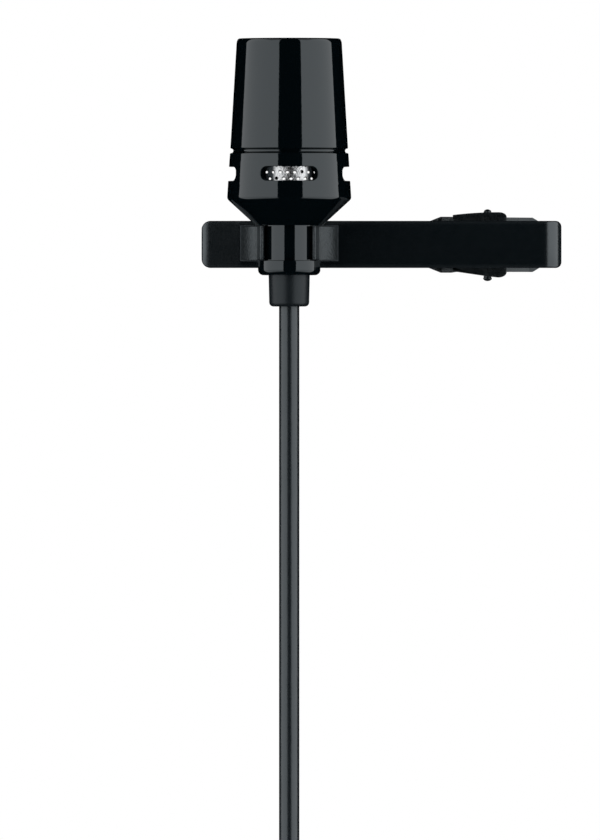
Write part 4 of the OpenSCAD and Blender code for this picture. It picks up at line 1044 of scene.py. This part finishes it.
# %% Bracket
PIN_X, PIN_Y, PIN_R = 19.9, 2.3, 0.39
EAR_IN, EAR_T, EAR_LEFT, EAR_RIGHT, EAR_ROUND, EAR_END = 2.8, 0.4, 3.5, 1.9, 1.05, 0.8
EAR_LEFT_FOOT, EAR_RIGHT_FOOT, EAR_DROP = 0.55, 1.1, 0.3
EAR_SIDES = {1: {"bow": 0.28, "power": 2.0, "thicker": 0.04}, -1: {"bow": 0.62, "power": 1.1, "thicker": 0.1}}
WEB_T, WEB_LAP, PRESS_EDGE = 0.4, 0.02, 0.04
ear_start, ear_stop = PIN_X - EAR_LEFT, PIN_X + EAR_RIGHT


def ear_inside(x, side):
    t = (x - ear_start) / (ear_stop - ear_start)
    return EAR_IN - EAR_SIDES[side]["bow"] * max(0, 1 - 2 * t) ** 2


def ear_outside(x, side):
    form = EAR_SIDES[side]
    over = max(x - (ear_stop - EAR_END), 0) / EAR_END
    span = ear_stop - ear_start - EAR_END
    bow = form["bow"] * max(1 - (x - ear_start) / span, 0) ** form["power"]
    return EAR_IN + (EAR_T + form["thicker"]) * sqrt(max(1 - over * over, 0.01)) - bow


def ear_height(x):
    """How far the ear reaches behind the bar at x."""
    gap = abs(x - PIN_X)
    if gap < EAR_ROUND:
        return PIN_Y + sqrt(EAR_ROUND ** 2 - gap ** 2)
    foot, reach = (EAR_LEFT_FOOT, EAR_LEFT) if x < PIN_X else (EAR_RIGHT_FOOT, EAR_RIGHT)
    return foot + (PIN_Y - EAR_DROP - foot) * (reach - gap) / (reach - EAR_ROUND)


def ear_mesh(side):
    xs = even(ear_start, EAR_LEFT - EAR_ROUND, 12)
    xs += [PIN_X - EAR_ROUND * cos(radians(a)) for a in even(5, 170, 24)]
    xs += [ear_stop - (EAR_RIGHT - EAR_ROUND) * (1 - i / 8) for i in range(9)]
    return loft([[(x, y, side * z) for y, z in round_rect(
        0, ear_height(x), ear_inside(x, side), ear_outside(x, side), PRESS_EDGE, 2)] for x in xs])


web_xs = even(ear_start, ear_stop - ear_start, 12)
web_halves = [max(BAR_HALF, ear_inside(x, 1)) + WEB_LAP for x in web_xs]
web = sheet_mesh([((x, 0), (x, WEB_T), half) for x, half in zip(web_xs, web_halves)], PRESS_EDGE)
add_piece("bracket", joined(web, ear_mesh(1), ear_mesh(-1)), "clip", "bracket_black", "hinge_bracket")

# %% Pin
PIN_HALF, DOME, AXIS_R = 3.55, 0.3, 0.001
HEAD_R, HEAD_HALF, HEAD_INNER = 0.45, 3.66, 3.32


def dome(r, top):
    """(radius, height) from the middle of a domed end to its side."""
    angles = [radians(a) for a in range(1, 91, 11)]
    return [(AXIS_R, top)] + [(r * sin(a), top - DOME * (1 - cos(a))) for a in angles]


pin_section = dome(PIN_R, PIN_HALF) + [(PIN_R, -HEAD_INNER)]
pin_section += [(r, -z) for r, z in reversed(dome(HEAD_R, HEAD_HALF))]
add_piece("pin", turned_mesh(pin_section, steps=32, center=(PIN_X, PIN_Y)), "clip", "pin_black", "hinge_pin")

# %% [markdown]
# ## The sprung jaw
# The jaw is pressed from one sheet: a toothed tip, a long arm that rises to the hinge, two flanges that sit
# between the ears and a lever for the thumb. The sheet follows a line of stations, and the flanges are plates
# with a hole for the pin.

# %% Jaw sheet
JAW_T, TIP_GAP, JAW_RISE, LEVER_RISE, LEVER_X = 0.6, 0.12, 3.75, 5.9, 26.9
JAW_TIP, GRIP_END, FLAT_HALF, ARM_POWER, LEVER_SHARE = -8.61, -3.6, 1.9, 1.25, 0.62
FLANGE_LEFT, FLANGE_RIGHT, FLANGE_HALF, JAW_HALF = PIN_X - 5.1, PIN_X + 5.2, 2.73, 2.25


def jaw_y(x):
    """Height of the jaw's inner face over the grip face, at x."""
    if x < GRIP_END:
        return TIP_GAP
    if x < PIN_X - FLAT_HALF:
        share = (x - GRIP_END) / (PIN_X - FLAT_HALF - GRIP_END)
        return TIP_GAP + (JAW_RISE - TIP_GAP) * share ** ARM_POWER
    if x < PIN_X + FLAT_HALF:
        return JAW_RISE
    share = (x - PIN_X - FLAT_HALF) / (LEVER_X - PIN_X - FLAT_HALF)
    return JAW_RISE + (LEVER_RISE - JAW_RISE) * ease(LEVER_SHARE * share) / ease(LEVER_SHARE)


def stepwise(x, corners):
    """The value at x on straight lines between (x, value) corners."""
    for (a, low), (b, high) in zip(corners, corners[1:]):
        if x <= b:
            return low + (high - low) * (x - a) / (b - a)
    return corners[-1][1]


LEVER_ROUND, JAW_EDGE, JAW_CORNER, FLANGE_FLARE = 0.8, 0.06, 0.5, 0.08
JAW_OUTLINE = [
    (JAW_TIP, JAW_HALF - JAW_CORNER), (JAW_TIP + JAW_CORNER, JAW_HALF), (FLANGE_LEFT - 1, JAW_HALF),
    (FLANGE_LEFT + 0.4, FLANGE_HALF + FLANGE_FLARE), (FLANGE_LEFT + 1.5, FLANGE_HALF + FLANGE_FLARE),
    (FLANGE_LEFT + 2, FLANGE_HALF), (FLANGE_RIGHT - 0.65, FLANGE_HALF), (FLANGE_RIGHT + 0.15, JAW_HALF),
    (LEVER_X - LEVER_ROUND, JAW_HALF), (LEVER_X, JAW_HALF - LEVER_ROUND),
]
jaw_xs = sorted({round(x, 4) for x in (
    [x for x, half in JAW_OUTLINE] + TOOTH_XS + even(GRIP_END, PIN_X - FLAT_HALF - GRIP_END, 40)
    + even(PIN_X + FLAT_HALF, LEVER_X - PIN_X - FLAT_HALF, 20))})
jaw_sheet = sheet_mesh([
    ((x, jaw_y(x) + tooth_y(x)), (x, jaw_y(x) + JAW_T), stepwise(x, JAW_OUTLINE))
    for x in jaw_xs], JAW_EDGE)


# %% Flanges
PIN_HOLE_R, FLANGE_SINK, WEB_GAP = 0.43, 0.3, 0.3
FLANGE_LEFT_IN, FLANGE_LEFT_DEPTH, FLANGE_RIGHT_IN, FLANGE_RIGHT_DEPTH = 0.5, 0.7, 1, 0.5


def ray_to(polygon, center, angle):
    """Where a ray from the centre meets a polygon that goes round it."""
    way = Vector((cos(angle), sin(angle)))
    best = None
    for p, q in zip(polygon, polygon[1:] + polygon[:1]):
        a, b = Vector(p) - center, Vector(q) - center
        cross = way.x * (b.y - a.y) - way.y * (b.x - a.x)
        if abs(cross) < 1e-12:
            continue
        t = (a.x * (b.y - a.y) - a.y * (b.x - a.x)) / cross
        u = (a.x * way.y - a.y * way.x) / cross
        if t > 0 and -1e-9 <= u <= 1 + 1e-9 and (best is None or t > best):
            best = t
    return center + way * best


flange_left, flange_right = FLANGE_LEFT + FLANGE_LEFT_IN, FLANGE_RIGHT - FLANGE_RIGHT_IN
flange_outline = (
    [(flange_left, jaw_y(flange_left) + FLANGE_SINK), (flange_left, jaw_y(flange_left) - FLANGE_LEFT_DEPTH)]
    + arc(PIN_X, PIN_Y, PIN_Y - WEB_T - WEB_GAP, 200, 330, 16)
    + [(flange_right, jaw_y(flange_right) - FLANGE_RIGHT_DEPTH),
       (flange_right, jaw_y(flange_right) + FLANGE_SINK),
       (PIN_X + FLAT_HALF, JAW_RISE + FLANGE_SINK), (PIN_X - FLAT_HALF, JAW_RISE + FLANGE_SINK)])
pin_middle = Vector((PIN_X, PIN_Y))
angles = sorted({round(atan2(y - PIN_Y, x - PIN_X) % (2 * pi), 5) for x, y in flange_outline}
                | {round(radians(5 * i), 5) for i in range(72)})
rim = [ray_to(flange_outline, pin_middle, a) for a in angles]
hole = [pin_middle + PIN_HOLE_R * Vector((cos(a), sin(a))) for a in angles]
flanges = [loft([[(*p, side * z) for p in loop] for loop, z in (
    (rim, FLANGE_HALF - JAW_T), (rim, FLANGE_HALF), (hole, FLANGE_HALF), (hole, FLANGE_HALF - JAW_T))],
    closed=True) for side in (1, -1)]
add_piece("jaw", joined(jaw_sheet, *flanges), "jaw", "bracket_black", "rear_jaw")

# %% [markdown]
# ## The clip's spring
# A torsion spring of plain wire sits round the pin, one leg on the bar and one under the lever. In the frame
# it is a coarse tube; here the same route is smooth. It winds up as the jaw opens.

# %% Spring
WIRE_R, COIL_R, COIL_PITCH, COIL_TURNS, COIL_STEPS = 0.2, 1.0, 0.9, 3.5, 24
WIRE_SIDES, LEG_X = 10, PIN_X + 3
LEG_GAP, LEG_END, LEG_IN, LEG_RUN, FOOT_DIP, TOP_RISE = 0.22, 0.42, 0.25, 1.5, 0.15, 0.1
coil_half = COIL_PITCH * COIL_TURNS / 2
lever_y = jaw_y(LEG_X)


def leg(z, *corners):
    return smooth_route([Vector((LEG_X + dx, y, z)) for dx, y in corners], 5)


foot_leg = leg(-coil_half, (0, LEG_GAP), (0, LEG_END), (-LEG_IN, PIN_Y - COIL_R - FOOT_DIP),
               (-LEG_RUN, PIN_Y - COIL_R))
top_leg = leg(coil_half, (-LEG_RUN, PIN_Y + COIL_R), (-LEG_IN, PIN_Y + COIL_R + TOP_RISE),
              (0, lever_y - LEG_END), (0, lever_y - LEG_GAP))
coil = []
for i in range(int(COIL_STEPS * COIL_TURNS) + 1):
    a = radians(-90 - 360 / COIL_STEPS * i)
    coil.append(Vector((PIN_X + COIL_R * cos(a), PIN_Y + COIL_R * sin(a),
                        -coil_half + COIL_PITCH * i / COIL_STEPS)))
wire = tube_mesh(foot_leg[:-1] + coil + top_leg, WIRE_R, WIRE_SIDES, Vector((0, 0, 1)))
coil_ends = [(PIN_X, PIN_Y, z) for z in (WIRE_R - coil_half, coil_half - WIRE_R)]
add_piece("spring", wire, ("clip", "jaw", *coil_ends), "spring_steel", "clip_spring")

# %% [markdown]
# ## The plug
# The cable ends in a small four-contact plug: a rubber boot with ring grooves, a knurled nut, the shell with
# its push latch and the mating sleeve. The boot and the nut get finer forms here. The others already have
# their true shape in the frame and only need their finish.

# %% Boot
PLUG = (0, 11)
BOOT_TOP, BOOT_FOOT, BOOT_R, BOOT_FOOT_R = -118.0, -131.0, 2.0, 3.75
BOOT_BORE_R, BOOT_INSIDE_TOP, INSIDE_R = CABLE_R + 0.03, -126.5, 2.4
BOOT_SPIGOT_R, SPIGOT_FOOT = 3.25, -132.5
BOOT_LIP, BOOT_LIP_EDGE = 0.25, 0.07
GROOVES, GROOVE_TOP, GROOVE_PITCH = 4, -120.0, 1.9
GROOVE = ((0.1, 0), (0.02, 0.03), (-0.06, 0.12), (-0.12, 0.3), (-0.68, 0.3), (-0.74, 0.12), (-0.82, 0.03),
          (-0.9, 0))


def boot_r(z):
    return BOOT_R + (BOOT_FOOT_R - BOOT_R) * (BOOT_TOP - z) / (BOOT_TOP - BOOT_FOOT)


boot_section = [(BOOT_BORE_R, BOOT_TOP), (BOOT_R - BOOT_LIP, BOOT_TOP),
                (BOOT_R - BOOT_LIP_EDGE, BOOT_TOP - BOOT_LIP_EDGE),
                (boot_r(BOOT_TOP - BOOT_LIP), BOOT_TOP - BOOT_LIP)]
for i in range(GROOVES):
    top = GROOVE_TOP - GROOVE_PITCH * i
    boot_section += [(boot_r(top + dz) - cut, top + dz) for dz, cut in GROOVE]
boot_section += [
    (BOOT_FOOT_R, BOOT_FOOT), (BOOT_SPIGOT_R, BOOT_FOOT), (BOOT_SPIGOT_R, SPIGOT_FOOT),
    (INSIDE_R, SPIGOT_FOOT), (INSIDE_R, BOOT_INSIDE_TOP), (BOOT_BORE_R, BOOT_INSIDE_TOP)]
boot = add_piece("boot", turned_mesh(boot_section, steps=96, center=PLUG), "microphone", "boot_rubber",
                 "connector_boot", sharp=50)

# %% Knurled nut
NUT_TOP, NUT_FOOT, NUT_R, NUT_BORE_R = -131.0, -135.0, 4.35, 3.28
KNURLS, KNURL_DEPTH, KNURL_RIM, KNURL_LEAST_R = 60, 0.12, 0.75, 4
TOP_RIM = ((0.2, 0), (0.05, 0.05), (0, 0.2), (0, 0.7), (0.01, 0.8))
FOOT_RIM = ((0.01, 0.8), (0, 0.7), (0, 0.1), (0.1, 0))
nut_section = [(NUT_BORE_R, NUT_TOP)] + [(NUT_R - cut, NUT_TOP - down) for cut, down in TOP_RIM]
nut_section += [(NUT_R - cut, NUT_FOOT + up) for cut, up in FOOT_RIM] + [(NUT_BORE_R, NUT_FOOT)]


def knurl(share, r, z):
    """Straight knurls between the nut's two plain rims."""
    if r > KNURL_LEAST_R and NUT_FOOT + KNURL_RIM < z < NUT_TOP - KNURL_RIM:
        return r - KNURL_DEPTH * (0.5 - 0.5 * cos(2 * pi * KNURLS * share))
    return r


nut = add_piece("nut", turned_mesh(nut_section, steps=6 * KNURLS, center=PLUG, shape=knurl), "microphone",
                "plug_metal", "connector_nut")

# %% [markdown]
# ## The latch's leaf
# Under the push button lies a bowed leaf of thin steel. Its feet stay against the shell's bore while the
# button presses its middle inwards.

# %% Leaf
LATCH_Z, LEAF_Y, LEAF_BOW, LEAF_T = -139.6, 13.75, 0.801, 0.2
LEAF_FLAT, LEAF_RISE, LEAF_FOOT, LEAF_HALF, LEAF_EDGE = 1.75, 1.45, 0.5, 1, 0.05
leaf_side = even(LEAF_FLAT, LEAF_RISE, 12) + [LEAF_FLAT + LEAF_RISE + LEAF_FOOT]
leaf_section = round_rect(0, LEAF_T, -LEAF_HALF, LEAF_HALF, LEAF_EDGE)
leaf_rings = []
for z in [-z for z in reversed(leaf_side)] + leaf_side:
    rise = LEAF_BOW * ease((abs(z) - LEAF_FLAT) / LEAF_RISE)
    leaf_rings.append([(v, LEAF_Y + rise + u, LATCH_Z + z) for u, v in leaf_section])
leaf = add_piece("latch_leaf", loft(leaf_rings),
                 ("microphone", "latch", (0, LEAF_Y + LEAF_BOW, LATCH_Z), (0, LEAF_Y + LEAF_T, LATCH_Z)),
                 "spring_steel", "latch_spring")

# %% [markdown]
# ## What is sealed inside
# The capsule's gasket is soft rubber, so it gets rounded edges of its own. Everything else inside keeps the
# frame's shape, and takes its finish by the name of its material slot.

# %% Gasket
GASKET_IN_R, GASKET_OUT_R, GASKET_FOOT, GASKET_TOP, GASKET_EDGE = 4.38, 4.85, 13.15, 14.15, 0.12
gasket_section = round_rect(GASKET_IN_R, GASKET_OUT_R, GASKET_FOOT, GASKET_TOP, GASKET_EDGE)
add_piece("gasket", turned_mesh(gasket_section, steps=96), "microphone", "gasket_rubber", "capsule_gasket")

# %% Finishes on the nodes that stay
slot_of = {row["node"]: row["material_slot"] for row in frame["record"]["subparts"]}
kept = [name for name in slot_of if name not in REPLACED]
for name in kept:
    for slot in frame["nodes"][name].material_slots:
        slot.material = FINISHES[slot_of[name]]
print("nodes kept:", len(kept), "of", len(slot_of))
